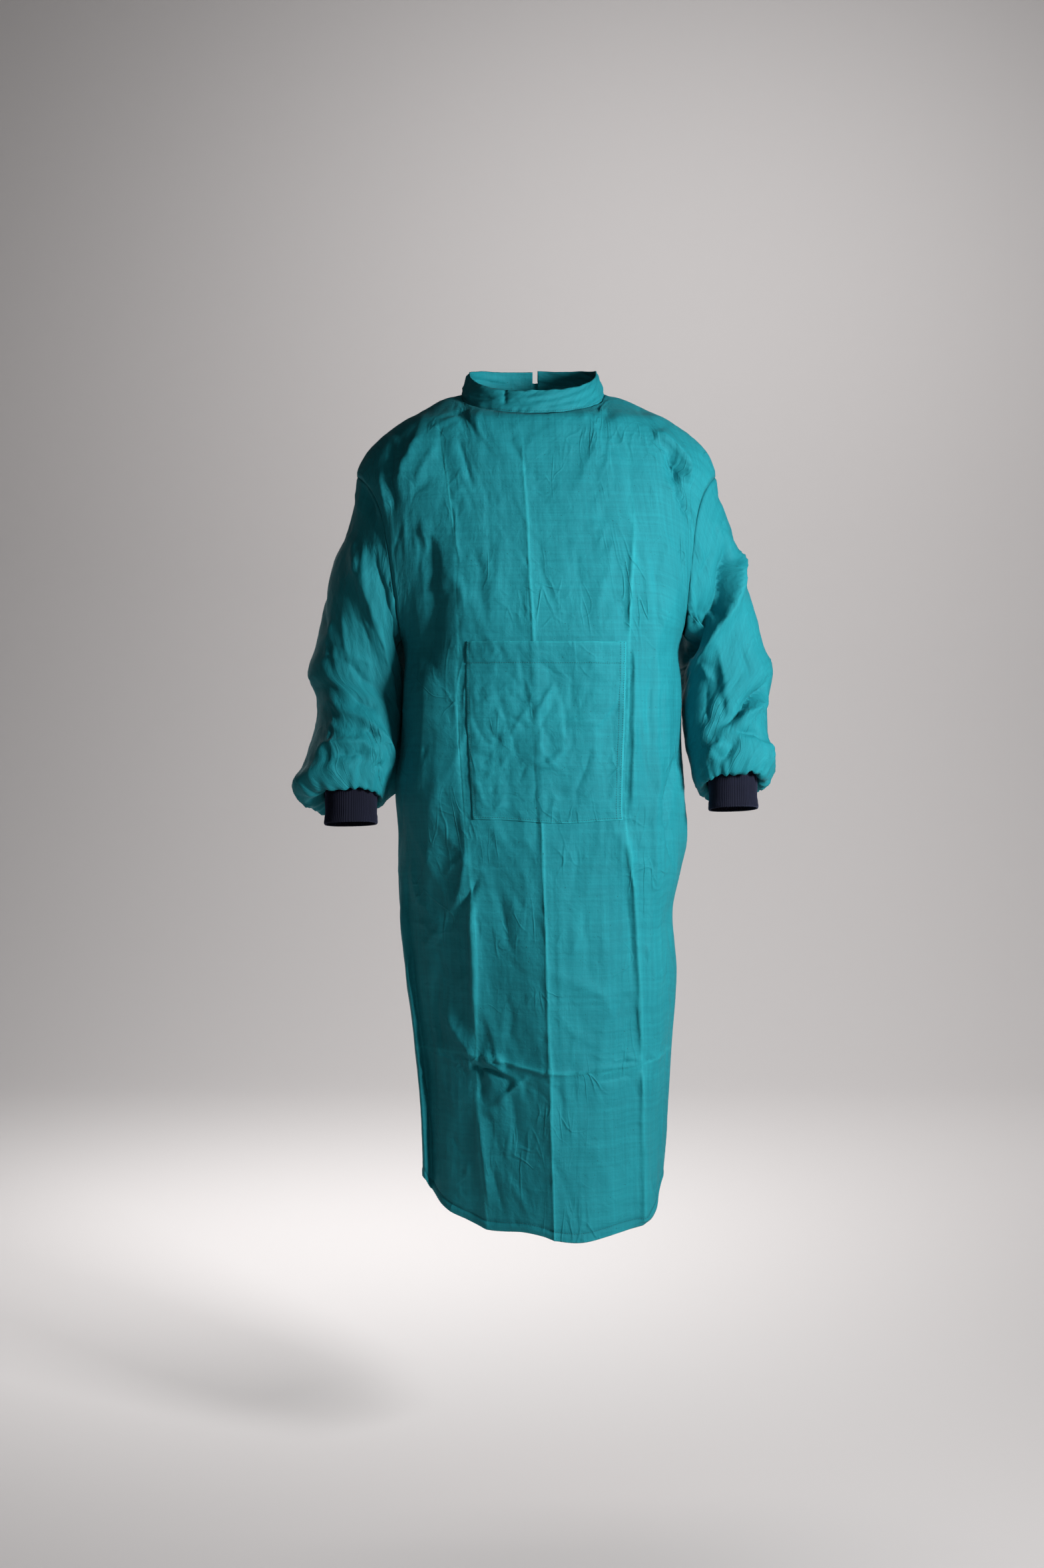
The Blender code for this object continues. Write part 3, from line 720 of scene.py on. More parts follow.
class Nodes:
    """Short ways to add nodes to a tree."""

    def __init__(self, tree: bpy.types.NodeTree) -> None:
        """Keep the tree."""
        self.tree = tree

    def add(self, kind: str, **settings: object) -> bpy.types.Node:
        """Add a node.

        Args:
            kind: Its type's identifier.
            **settings: Its properties.

        Returns:
            The node.
        """
        node = self.tree.nodes.new(kind)
        for name, value in settings.items():
            setattr(node, name, value)
        return node

    def link(self, source: Socket, target: Socket) -> None:
        """Join two sockets."""
        self.tree.links.new(source, target)

    def math(self, operation: str, *values: object) -> Socket:
        """Add a Math node.

        Args:
            operation: What it does.
            *values: Sockets or numbers for its inputs.

        Returns:
            Its output.
        """
        node = self.add("ShaderNodeMath", operation=operation)
        for socket, value in zip(node.inputs, values, strict=False):
            if isinstance(value, Socket):
                self.link(value, socket)
            else:
                socket.default_value = value
        return node.outputs[0]

    def times(self, first: object, second: object) -> Socket:
        """The product of two sockets or numbers."""
        return self.math("MULTIPLY", first, second)

    def plus(self, first: object, second: object) -> Socket:
        """The sum of two sockets or numbers."""
        return self.math("ADD", first, second)

    def minus(self, first: object, second: object) -> Socket:
        """The difference of two sockets or numbers."""
        return self.math("SUBTRACT", first, second)

    def noise(
        self, vector: Socket, scale: float, detail: float, distortion: float = 0.0
    ) -> Socket:
        """Add a Noise Texture.

        Args:
            vector: The socket it reads its place from.
            scale: Bumps in each metre.
            detail: How fine it gets.
            distortion: How much it is warped.

        Returns:
            Its value.
        """
        node = self.add("ShaderNodeTexNoise")
        set_sockets(node, {"Scale": scale, "Detail": detail, "Distortion": distortion})
        self.link(vector, node.inputs["Vector"])
        return node.outputs["Fac"]

    def stretched(
        self, vector: Socket, scale: Triple
    ) -> Socket:
        """Scale a vector by a different amount each way.

        Args:
            vector: The socket it comes from.
            scale: What x, y and z are multiplied by.

        Returns:
            The scaled vector.
        """
        node = self.add("ShaderNodeMapping", vector_type="POINT")
        node.inputs["Scale"].default_value = scale
        self.link(vector, node.inputs[0])
        return node.outputs[0]

    def mix(self, factor: Socket, low: object, high: Sequence[float]) -> Socket:
        """Blend two colours.

        Args:
            factor: 0 for the first, 1 for the second.
            low: The first, a socket or three numbers.
            high: The second, three numbers.

        Returns:
            The blended colour.
        """
        node = self.add("ShaderNodeMix", data_type="RGBA", clamp_factor=True)
        self.link(factor, node.inputs["Factor"])
        if isinstance(low, Socket):
            self.link(low, node.inputs["A"])
        else:
            node.inputs["A"].default_value = (*low, 1)
        node.inputs["B"].default_value = (*high, 1)
        return node.outputs["Result"]

    def bump(
        self, height: Socket, distance: float, below: Socket | None = None
    ) -> Socket:
        """Add a Bump node.

        Args:
            height: What it reads.
            distance: How many metres a height of 1 is.
            below: The normal that it bends further, if any.

        Returns:
            The normal.
        """
        node = self.add("ShaderNodeBump")
        node.inputs["Distance"].default_value = distance
        self.link(height, node.inputs["Height"])
        if below is not None:
            self.link(below, node.inputs["Normal"])
        return node.outputs["Normal"]


def set_sockets(node: bpy.types.Node, values: dict[str, object]) -> None:
    """Set a node's own input sockets by their names."""
    for name, value in values.items():
        node.inputs[name].default_value = value


def new_material(name: str) -> tuple[bpy.types.Material, Nodes, bpy.types.Node]:
    """Make an empty material.

    Args:
        name: Its name.

    Returns:
        The material, its nodes and its shader.
    """
    made = bpy.data.materials.new(name)
    made.use_nodes = True
    return made, Nodes(made.node_tree), made.node_tree.nodes["Principled BSDF"]


def new_group(name: str, inputs: dict[str, float], outputs: Sequence[str]) -> bpy.types.NodeTree:
    """A shader node group with named sockets.

    Args:
        name: Its name.
        inputs: Names and usual values of its inputs.
        outputs: Names of its outputs.

    Returns:
        The group, with its input and output nodes called In and Out.
    """
    group = bpy.data.node_groups.new(name, "ShaderNodeTree")
    group.interface.new_socket("Vector", in_out="INPUT", socket_type="NodeSocketVector")
    for label, value in inputs.items():
        socket = group.interface.new_socket(label, in_out="INPUT", socket_type="NodeSocketFloat")
        socket.default_value = value
    for label in outputs:
        group.interface.new_socket(label, in_out="OUTPUT", socket_type="NodeSocketFloat")
    group.nodes.new("NodeGroupInput").name = "In"
    group.nodes.new("NodeGroupOutput").name = "Out"
    return group


def weave_group() -> bpy.types.NodeTree:
    """Plain weave.

    Returns:
        The group: Height of the threads, Tone from thread to thread, and Fleck for its dark specks.
    """
    group = new_group("PlainWeave", {"Threads": 1500.0, "Slub": 0.5}, ("Height", "Tone", "Fleck"))
    nodes = Nodes(group)
    given, out = group.nodes["In"], group.nodes["Out"]
    split = nodes.add("ShaderNodeSeparateXYZ")
    nodes.link(given.outputs["Vector"], split.inputs[0])
    across = nodes.times(split.outputs[0], given.outputs["Threads"])
    down = nodes.times(split.outputs[1], given.outputs["Threads"])
    warp = nodes.math("SINE", nodes.times(across, 2 * math.pi))
    weft = nodes.math("SINE", nodes.times(down, 2 * math.pi))
    over = nodes.times(warp, weft)
    tones = []
    for stretch in ((1.0, 0.02, 1.0), (0.02, 1.0, 1.0)):
        thread = nodes.stretched(given.outputs["Vector"], stretch)
        fine = nodes.noise(thread, 900.0, 2.0)
        slubs = nodes.noise(thread, 190.0, 3.0)
        tones.append(nodes.plus(nodes.times(fine, 0.4), nodes.times(slubs, 0.6)))
    tone = nodes.times(nodes.plus(*tones), 0.5)
    specks = nodes.noise(given.outputs["Vector"], 420.0, 1.0)
    rare = nodes.noise(given.outputs["Vector"], 60.0, 0.0)
    speck = nodes.times(nodes.minus(specks, 0.70), 14.0)
    speck = nodes.times(nodes.math("MAXIMUM", speck, 0.0), nodes.math("GREATER_THAN", rare, 0.5))
    nodes.link(nodes.math("MINIMUM", speck, 1.0), out.inputs["Fleck"])
    slub = nodes.times(tone, given.outputs["Slub"])
    nodes.link(nodes.plus(nodes.times(over, 0.35), slub), out.inputs["Height"])
    nodes.link(tone, out.inputs["Tone"])
    return group


def crumple_group() -> bpy.types.NodeTree:
    """Crumples and thin creases that are too fine for the mesh.

    Returns:
        The group, whose Height is in metres.
    """
    group = new_group("FineCrumples", {"Fine": 0.0003, "Coarse": 0.0008, "Lines": 0.0008}, ("Height",))
    nodes = Nodes(group)
    given, out = group.nodes["In"], group.nodes["Out"]
    vector = given.outputs["Vector"]
    coarse = nodes.times(nodes.noise(vector, 26.0, 4.0, 0.7), given.outputs["Coarse"])
    fine = nodes.times(nodes.noise(vector, 85.0, 3.0, 0.5), given.outputs["Fine"])
    height = nodes.plus(coarse, fine)
    where = nodes.noise(vector, 9.0, 2.0)
    where = nodes.math("MAXIMUM", nodes.math("MULTIPLY_ADD", where, 6.0, -3.0), 0.0)
    where = nodes.math("MINIMUM", where, 1.0)
    for stretch, scale in (((1.0, 0.22, 1.0), 30.0), ((0.7, 0.7, 1.0), 24.0)):
        lines = nodes.noise(nodes.stretched(vector, stretch), scale, 1.0, 0.8)
        away = nodes.math("ABSOLUTE", nodes.minus(lines, 0.5))
        line = nodes.math("MAXIMUM", nodes.math("MULTIPLY_ADD", away, -22.0, 1.0), 0.0)
        line = nodes.times(nodes.times(line, where), given.outputs["Lines"])
        height = nodes.plus(height, line)
    nodes.link(height, out.inputs["Height"])
    return group


def fade_group() -> bpy.types.NodeTree:
    """Uneven dye.

    Returns:
        The group, whose Mask drifts slowly over the cloth.
    """
    group = new_group("UnevenDye", {"Patches": 5.0}, ("Mask",))
    nodes = Nodes(group)
    given, out = group.nodes["In"], group.nodes["Out"]
    node = nodes.add("ShaderNodeTexNoise")
    nodes.link(given.outputs["Vector"], node.inputs["Vector"])
    nodes.link(given.outputs["Patches"], node.inputs["Scale"])
    node.inputs["Detail"].default_value = 4.0
    nodes.link(node.outputs["Fac"], out.inputs["Mask"])
    return group


@dataclass(frozen=True)
class Groups:
    """The node groups that the finishes share."""

    weave: bpy.types.NodeTree
    crumples: bpy.types.NodeTree
    dye: bpy.types.NodeTree


def place_group(
    nodes: Nodes, group: bpy.types.NodeTree, vector: Socket, **values: float
) -> bpy.types.Node:
    """Put a shared group into a material.

    Args:
        nodes: The material's nodes.
        group: The group.
        vector: Its coordinates.
        **values: Its inputs.

    Returns:
        The group's node.
    """
    node = nodes.add("ShaderNodeGroup", node_tree=group)
    nodes.link(vector, node.inputs["Vector"])
    set_sockets(node, values)
    return node


@dataclass(frozen=True)
class CottonFinish:
    """Woven cotton: dyed cloth with a visible weave and fine crumples, paler along pressed creases and edges,
    partly from wear and partly as a painted highlight.
    """

    name: str
    colour: Triple = (0.0040, 0.198, 0.240)
    pale: Triple = (0.014, 0.310, 0.365)
    roughness: float = 0.74
    sheen: float = 0.03
    threads: float = 1300.0
    thread_height: float = 0.00012
    crumple: float = 0.0021
    fine_crumple: float = 0.0007
    creases: float = 0.0009
    contrast: float = 2.4  # between paler and darker threads
    wear_and_highlight_pale: float = 0.95  # how much paler pressed creases and edges are: partly wear, partly a painted highlight
    depth: float = 1.50  # how far the cloth as a whole is dyed towards its darker colour
    fleck: float = 0.35  # how bright a dark speck is beside the cloth

    def build(self, groups: Groups) -> bpy.types.Material:
        """Make the material.

        Args:
            groups: The shared node groups.

        Returns:
            The material.
        """
        made, nodes, shader = new_material(self.name)
        place = nodes.add("ShaderNodeUVMap", uv_map="Cloth").outputs["UV"]
        weave = place_group(nodes, groups.weave, place, Threads=self.threads, Slub=0.6)
        heights = {"Fine": self.fine_crumple, "Coarse": self.crumple, "Lines": self.creases}
        crumples = place_group(nodes, groups.crumples, place, **heights)
        dye = place_group(nodes, groups.dye, place, Patches=7.0)
        press = nodes.add("ShaderNodeAttribute", attribute_name="press").outputs["Fac"]
        mask = nodes.times(weave.outputs["Tone"], self.contrast)
        mask = nodes.plus(mask, dye.outputs["Mask"])
        # pressed creases and edges made paler: partly wear, partly a painted highlight
        mask = nodes.plus(mask, nodes.times(press, self.wear_and_highlight_pale))
        mask = nodes.minus(mask, self.depth)
        blend = nodes.mix(mask, self.colour, self.pale)
        fleck = [channel * self.fleck for channel in self.colour]
        nodes.link(nodes.mix(weave.outputs["Fleck"], blend, fleck), shader.inputs["Base Color"])
        uneven = nodes.times(weave.outputs["Tone"], 0.12)
        rough = nodes.plus(uneven, self.roughness - 0.06)
        nodes.link(rough, shader.inputs["Roughness"])
        folds = nodes.bump(crumples.outputs["Height"], 1.0)
        threads = nodes.bump(weave.outputs["Height"], self.thread_height, folds)
        nodes.link(threads, shader.inputs["Normal"])
        sheen = {"Sheen Weight": self.sheen, "Sheen Roughness": 0.45, "Sheen Tint": (0.35, 0.85, 0.85, 1)}
        set_sockets(shader, {"Metallic": 0, "Specular IOR Level": 0.25, **sheen})
        return made


@dataclass(frozen=True)
class KnitFinish:
    """Rib knit: rows of small loops on the ribs, which are real geometry."""

    name: str
    colour: Triple = (0.0030, 0.0034, 0.0090)
    pale: Triple = (0.0070, 0.0085, 0.0230)
    rows: float = 620.0
    loop_height: float = 0.0004

    def build(self, groups: Groups) -> bpy.types.Material:
        """Make the material.

        Args:
            groups: The shared node groups.

        Returns:
            The material.
        """
        made, nodes, shader = new_material(self.name)
        place = nodes.add("ShaderNodeUVMap", uv_map="Cloth").outputs["UV"]
        weave = place_group(nodes, groups.weave, place, Threads=self.rows, Slub=0.4)
        dye = place_group(nodes, groups.dye, place, Patches=20.0)
        tone = nodes.times(weave.outputs["Tone"], dye.outputs["Mask"])
        blend = nodes.mix(nodes.times(tone, 2.0), self.colour, self.pale)
        nodes.link(blend, shader.inputs["Base Color"])
        nodes.link(nodes.bump(weave.outputs["Height"], self.loop_height), shader.inputs["Normal"])
        sheen = {"Sheen Weight": 0.35, "Sheen Roughness": 0.5, "Sheen Tint": (0.30, 0.36, 0.62, 1)}
        set_sockets(shader, {"Roughness": 0.9, "Metallic": 0, "Specular IOR Level": 0.2, **sheen})
        return made


@dataclass(frozen=True)
class ThreadFinish:
    """Sewing thread, with a slight twist shine."""

    name: str
    colour: Triple = (0.002, 0.070, 0.080)

    def build(self, groups: Groups) -> bpy.types.Material:
        """Make the material.

        Args:
            groups: The shared node groups.

        Returns:
            The material.
        """
        made, nodes, shader = new_material(self.name)
        place = nodes.add("ShaderNodeTexCoord").outputs["Object"]
        dye = place_group(nodes, groups.dye, place, Patches=60.0)
        blend = nodes.mix(dye.outputs["Mask"], self.colour, [channel * 1.5 for channel in self.colour])
        nodes.link(blend, shader.inputs["Base Color"])
        set_sockets(shader, {"Roughness": 0.55, "Metallic": 0})
        return made


class Wardrobe:
    """Makes each finish once."""

    def __init__(self) -> None:
        """Build the shared groups and the finishes."""
        groups = Groups(weave_group(), crumple_group(), fade_group())
        self.cotton = CottonFinish("teal_drill").build(groups)
        self.double = CottonFinish("teal_drill_doubled", crumple=0.0026).build(groups)
        self.tape = CottonFinish("teal_tape", threads=900.0, crumple=0.0004, creases=0.0002).build(groups)
        self.knit = KnitFinish("navy_rib_knit").build(groups)
        self.thread = ThreadFinish("teal_thread").build(groups)


class Cut(NamedTuple):
    """A piece's flat cut in metres and square metres, and how it is held."""

    width: float
    length: float
    area: float
    held: str
    rests_on: tuple[str, ...]


def dress(piece: bpy.types.Object, finish: bpy.types.Material, slot: str, *nodes: str) -> bpy.types.Object:
    """Give a piece its finish and its place in the frame.

    Args:
        piece: The mesh object.
        finish: Its material.
        slot: Not used.
        *nodes: CAD nodes that it replaces.

    Returns:
        The piece.
    """
    piece.data.materials.append(finish)
    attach(piece, "root")
    if nodes:
        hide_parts(*nodes)
    LOG.info("%s: %d faces", piece.name, len(piece.data.polygons))
    return piece


# ---- Stitching ----


@dataclass
class Stitching:
    """A row of stitches along a line on the cloth."""

    pitch: float = 0.0034
    length: float = 0.0024
    radius: float = 0.00038

    def build(self, name: str, lines: Sequence[tuple[np.ndarray, np.ndarray]]) -> bpy.types.Object:
        """Make every stitch of some lines as one mesh.

        Args:
            name: The piece's name.
            lines: For each line its points on the cloth and the outward direction at each.

        Returns:
            The mesh object.
        """
        points: list[np.ndarray] = []
        faces: list[tuple[int, ...]] = []
        for path, out in lines:
            steps = np.linalg.norm(np.diff(path, axis=0), axis=1)
            length = np.concatenate([[0], np.cumsum(steps)])
            count = int(length[-1] / self.pitch)
            for k in range(count):
                start = (k + 0.2) * self.pitch
                at = [start, start + self.length / 2, start + self.length]
                spine = np.stack([np.interp(at, length, path[:, a]) for a in range(3)], -1)
                normal = np.array([np.interp(at[1], length, out[:, a]) for a in range(3)])
                self.add_stitch(points, faces, spine, normal / np.linalg.norm(normal))
        mesh = bpy.data.meshes.new(name)
        mesh.from_pydata(np.vstack(points).tolist(), [], faces)
        mesh.shade_smooth()
        return new_object(name, mesh)

    def add_stitch(
        self, points: list[np.ndarray], faces: list[tuple[int, ...]], spine: np.ndarray, out: np.ndarray
    ) -> None:
        """Add one stitch: a thread that comes up through the cloth and goes down again.

        Args:
            points: Where its points go.
            faces: Where its faces go.
            spine: Its start, middle and end.
            out: The outward direction.
        """
        along = spine[2] - spine[0]
        side = np.cross(along, out)
        side /= max(np.linalg.norm(side), 1e-9)
        first = sum(len(p) for p in points)
        ring = [(1, 0), (0, 1), (-1, 0), (0, -1)]
        rise = (-0.4, 0.75, -0.4)
        size = (0.55, 1.0, 0.55)
        for centre, up, wide in zip(spine, rise, size, strict=True):
            middle = centre + out * self.radius * up
            points.append(np.array([middle + self.radius * wide * (side * a + out * b) for a, b in ring]))
        for k in range(2):
            low = first + 4 * k
            for j in range(4):
                n = (j + 1) % 4
                faces.append((low + j, low + n, low + 4 + n, low + 4 + j))
        faces.append(tuple(first + j for j in (3, 2, 1, 0)))
        faces.append(tuple(first + 8 + j for j in range(4)))


# ---- Body panels ----


class Columns(NamedTuple):
    """Columns of a panel: upper ends, x at the underarm, and how near the armhole and neck they are."""

    top: np.ndarray
    bottom_x: np.ndarray
    edge: np.ndarray
    neck: np.ndarray


def flank_x(
    side: np.ndarray | float, crease: np.ndarray | float, step: np.ndarray, steps: float
) -> np.ndarray:
    """x of a column between side seam and crease, closer together where the cloth turns back."""
    return side + (crease - side) * np.clip(step / steps, 0, 1) ** FORM.flank_crowding


def upper_points(columns: Columns, face: Face, v: np.ndarray) -> np.ndarray:
    """Points between the columns' upper ends and the underarm's height.

    Args:
        columns: The columns.
        face: Front or back.
        v: Rows, from 0 at the upper end to 1 at the underarm.

    Returns:
        Columns by rows by 3.
    """
    neck, edge = columns.neck[:, None], columns.edge[:, None]
    over_top = 1 - np.cos(math.pi / 2 * v)
    over_both = (1 - np.cos(math.pi * v)) / 2
    down = v + neck * (over_top - v) + edge * (over_both - over_top)
    up = 1 - down
    top = columns.top
    z = top[:, 2:3] + (FORM.underarm_z - top[:, 2:3]) * down
    armhole = FORM.armhole_slope * up**0.85 + (1 - FORM.armhole_slope) * up**FORM.armhole_tip
    lean = up ** (1 + neck) * (1 - edge) + armhole * edge
    x = columns.bottom_x[:, None] + (top[:, :1] - columns.bottom_x[:, None]) * lean
    at_top = top[:, 1] - FORM.depth_y(top[:, 0], top[:, 2], face)
    y = FORM.depth_y(x, z, face) + at_top[:, None] * up**FORM.neck_fade
    if face is Face.FRONT:
        y = np.minimum(y - FORM.crease_rise(x, z) * down, 0)
    else:
        y = np.maximum(y, 0)
    return np.stack([x, y, z], -1)


@dataclass
class FrontPanel:
    """The one-piece front, with its pressed creases, folds and hem."""

    spacing: float = 0.0034
    row_spacing: float = 0.0049
    flank_steps: float = 5.0
    neck_steps: float = 6.0
    crease_edge: float = 1.7  # mm, the pressed creases' sharp edge above their slopes
    crease_edge_width: float = 2.2
    crease_wander: float = 0.0012
    # x and z of the crease that was pressed across
    crease_across: tuple[tuple[float, float], ...] = (
        (-0.176, -0.958), (-0.084, -0.958), (0.042, -0.978), (0.157, -0.970), (0.195, -0.957),
    )
    lean: tuple[LeanAt, ...] = (
        LeanAt(-0.050, 0, 0, 0, 0, 0),
        LeanAt(-0.150, 2, 0, 0, 0, -6),
        LeanAt(-0.300, 5, 1, 0, -2, -14),
        LeanAt(-0.450, -14, 0, 0, -3, -18),
        LeanAt(-0.580, -8, 2, -1, -3, -18),
        LeanAt(-0.720, 24, 16, -4, -2, -16),
        LeanAt(-0.850, 37, 32, -5, 0, -11),
        LeanAt(-1.000, 40, 36, -7, 0, -4),
        LeanAt(-1.220, 40, 38, -7, 0, 0),
    )
    creasing: tuple[Scatter, ...] = (
        Scatter(230, 0.0017, (0.03, 0.16), (0.004, 0.014), 22, 12, 0.05),
        Scatter(520, 0.0011, (0.015, 0.05), (0.0030, 0.006), 50, 13, 0.03),
    )
    pucker: float = 0.0005  # along the hem's stitches
    neck_pucker: float = 0.0006
    stitch_sink: float = 0.0014
    stitch_reach: float = 0.0022
    hem_wave: float = 0.0030
    flank_reach: float = 0.84  # share of the half width where a flank leans most
    skirt_reach: float = 0.94  # the same, on the right of the skirt
    hem_drop: float = 0.25  # how far the hem comes down for each metre that it leans back
    corner_reach: float = 1.0  # of the eased cloth below a neck corner, in stations
    corner_rounds: int = 60
    # where rows crowd, over what share of the length, and how much: the crease across, and the hem
    row_crowds: tuple[Triple, ...] = ((0.725, 0.042, 1.7), (1.0, 0.022, 1.8))
    fold_gain: float = 1.25
    fold_narrow: float = 0.75
    crease_share: tuple[tuple[float, float, float, float], ...] = (
        # height, and how much of the right, middle and left crease's rise stays there
        (0.000, 0.15, 0.7, 0.3),
        (-0.250, 0.25, 0.8, 0.5),
        (-0.420, 0.10, 0.9, 0.6),
        (-0.600, 0.20, 0.9, 0.6),
        (-0.720, 1.00, 0.6, 0.9),
        (-1.050, 1.00, 0.6, 0.9),
        (-1.220, 1.00, 0.6, 0.9),
    )
    folds: tuple[Fold, ...] = (
        # from the wearer's right shoulder to the chest
        Fold(((-154.5, -47), (-178, -80), (-196, -122), (-196, -160)), 6, 14, 22),
        Fold(((-210, -62), (-209, -90), (-208, -122), (-200, -175)), -6, 8, 8),
        Fold(((-225, -102), (-222, -136), (-213, -175)), 3, 8, 10),
        Fold(((-140, -70), (-160, -105), (-176, -140)), 2.5, 6, 9),
        Fold(((-150, -120), (-172, -140), (-190, -150)), -2, 7, 7),
        Fold(((-146, -150), (-150, -240), (-150, -320), (-158, -380), (-175, -420)), -10, 62, 28),
        Fold(((-116, -150), (-114, -215), (-106, -262)), 2, 5, 5),
        Fold(((-112, -261), (-100, -273), (-88, -284)), -2.0, 5, 5),
        Fold(((-170, -170), (-150, -205), (-128, -225)), 1.5, 6, 6),
        # below the neck
        Fold(((-104, -32), (-131, -42), (-159, -52)), 2, 5, 6),
        Fold(((-95, -20), (-125, -30), (-150, -36)), -2, 5, 5),
        Fold(((-110, -47), (-100, -107), (-85, -164)), -1.5, 9, 12),
        Fold(((96, -47), (71, -107), (54, -164)), 1.5, 12, 12),
        # at the wearer's left armhole
        Fold(((162, -50), (190, -70), (216, -97), (220, -136)), 10, 6, 26, fade=(0.3, 0.2)),
        Fold(((186, -82), (200, -105), (207, -135)), -13, 12, 8),
        Fold(((190, -112), (195, -140), (213, -171)), 5, 12, 5),
        Fold(((200, -122), (205, -148), (221, -176)), -8, 8, 8),
        Fold(((176, -210), (172, -290), (180, -350)), -2.5, 9, 12),
        Fold(((152, -200), (158, -280), (160, -340)), 1.5, 6, 8),
        # soft ones above the pocket
        Fold(((95, -193), (104, -249), (90, -297), (92, -349)), 2, 14, 10),
        Fold(((61, -202), (60, -259), (71, -316), (75, -354)), -2, 10, 12),
        Fold(((-2, -184), (6, -250), (28, -307), (35, -349)), -1.5, 9, 9),
        Fold(((-50, -202), (-54, -269), (-43, -325)), 1.5, 12, 12),
        Fold(((-81, -231), (-79, -288), (-66, -344)), -1.5, 10, 10),
        # the wearer's left crease, down to the crease across
        Fold(((136, -160), (138, -200), (133, -300), (133, -350)), 2.6, 5, 14, fade=(0.5, 0.1)),
        Fold(((138.5, -360), (139, -440), (138, -540), (136, -620)), 5.0, 5, 14, fade=(0.1, 0.2)),
        Fold(((131, -630), (142, -740), (150, -880), (153, -962)), 3.6, 5, 14, fade=(0.1, 0.1)),
        Fold(((153.5, -975), (155, -1070), (157, -1208)), 4.0, 6, 16, fade=(0.1, 0.02)),
        Fold(((120, -300), (124, -318), (130, -334)), -2.5, 4, 5),
        Fold(((170, -380), (163, -450), (166, -520)), -3.0, 9, 6),
        Fold(((186, -400), (182, -470), (186, -540)), -4.0, 10, 6),
        # below the pocket, on the wearer's right crease
        Fold(((-100, -656), (-105, -692), (-112, -727), (-128, -755)), 4, 7, 12),
        Fold(((-77, -688), (-96, -720), (-127, -755)), -4, 6, 6),
        Fold(((-77, -690), (-89, -734), (-91, -763), (-88, -846), (-88, -956)), 6, 9, 14),
        Fold(((-86, -1009), (-80, -1064), (-71, -1151), (-66, -1201)), 4, 8, 12),
        Fold(((-188, -769), (-159, -770), (-127, -758)), 1.5, 6, 6),
        Fold(((-127, -755), (-149, -786), (-174, -817)), 1.5, 7, 7),
        Fold(((-140, -815), (-145, -894), (-138, -972)), -4, 16, 14),
        # long soft ones on the skirt
        Fold(((-56, -705), (-47, -753), (-38, -793), (-18, -816)), -3, 8, 10),
        Fold(((-33, -705), (-29, -744), (-14, -777)), 1.5, 10, 8),
        Fold(((-43, -850), (-35, -898), (-41, -946)), -1.5, 8, 8),
        Fold(((25, -625), (34, -715), (34, -823), (39, -978), (51, -1081), (55, -1161)), 1.2, 5, 7),
        Fold(((30, -965), (36, -1043), (32, -1106)), -1.5, 6, 8),
        Fold(((125, -678), (136, -775), (142, -872)), -2, 9, 6),
        Fold(((91, -677), (96, -774), (106, -870), (96, -948)), 1.5, 12, 12),
        Fold(((67, -706), (72, -792), (82, -870)), -1.5, 10, 10),
        Fold(((214, -500), (199, -560), (190, -600), (194, -640), (206, -700)), -10, 9, 12),
        Fold(((176, -480), (178, -560), (170, -640), (176, -740)), 3, 9, 8),
        # the crease that was pressed across, and the crumples where it meets the others
        Fold(
            ((-84, -956), (-42, -966), (-2, -974), (42, -978), (91, -972), (157, -970)),
            3.2, 6, 7, Shape.PRESSED, (0.05, 0.05),
        ),
        Fold(((159, -970), (176, -963), (195, -957)), 1, 5, 5, Shape.PRESSED),
        Fold(((-176, -958), (-135, -966), (-99, -973)), 1, 6, 6, Shape.PRESSED),
        Fold(((-36, -698), (7, -697), (40, -715)), 0.6, 4, 4),
        Fold(((-84, -956), (-60, -972), (-32, -991)), 6, 4, 9),
        Fold(((-99, -973), (-67, -978), (-32, -991)), -3, 4, 4),
        Fold(((-2, -976), (-29, -1001), (-62, -1032)), 5, 8, 4),
        Fold(((-79, -1034), (-67, -1042), (-54, -1046)), 1.5, 4, 4),
        Fold(((-97, -971), (-85, -978), (-74, -988)), -5, 6, 6),
        Fold(((-85, -966), (-80, -1000), (-82, -1030)), -2.5, 6, 8),
        Fold(((130, -953), (138, -960), (159, -966)), 2.5, 3, 5),
        Fold(((128, -959), (132, -971)), -2, 3, 3),
    )

    @property
    def half(self) -> float:
        """The station of the middle crease; the last one is twice as far."""
        return self.flank_steps + 1 + self.neck_steps

    def station_row(self, index: np.ndarray) -> np.ndarray:
        """The row on which the columns are spaced."""
        return self.lower(index, np.array([STATION_ROW]))[:, 0]

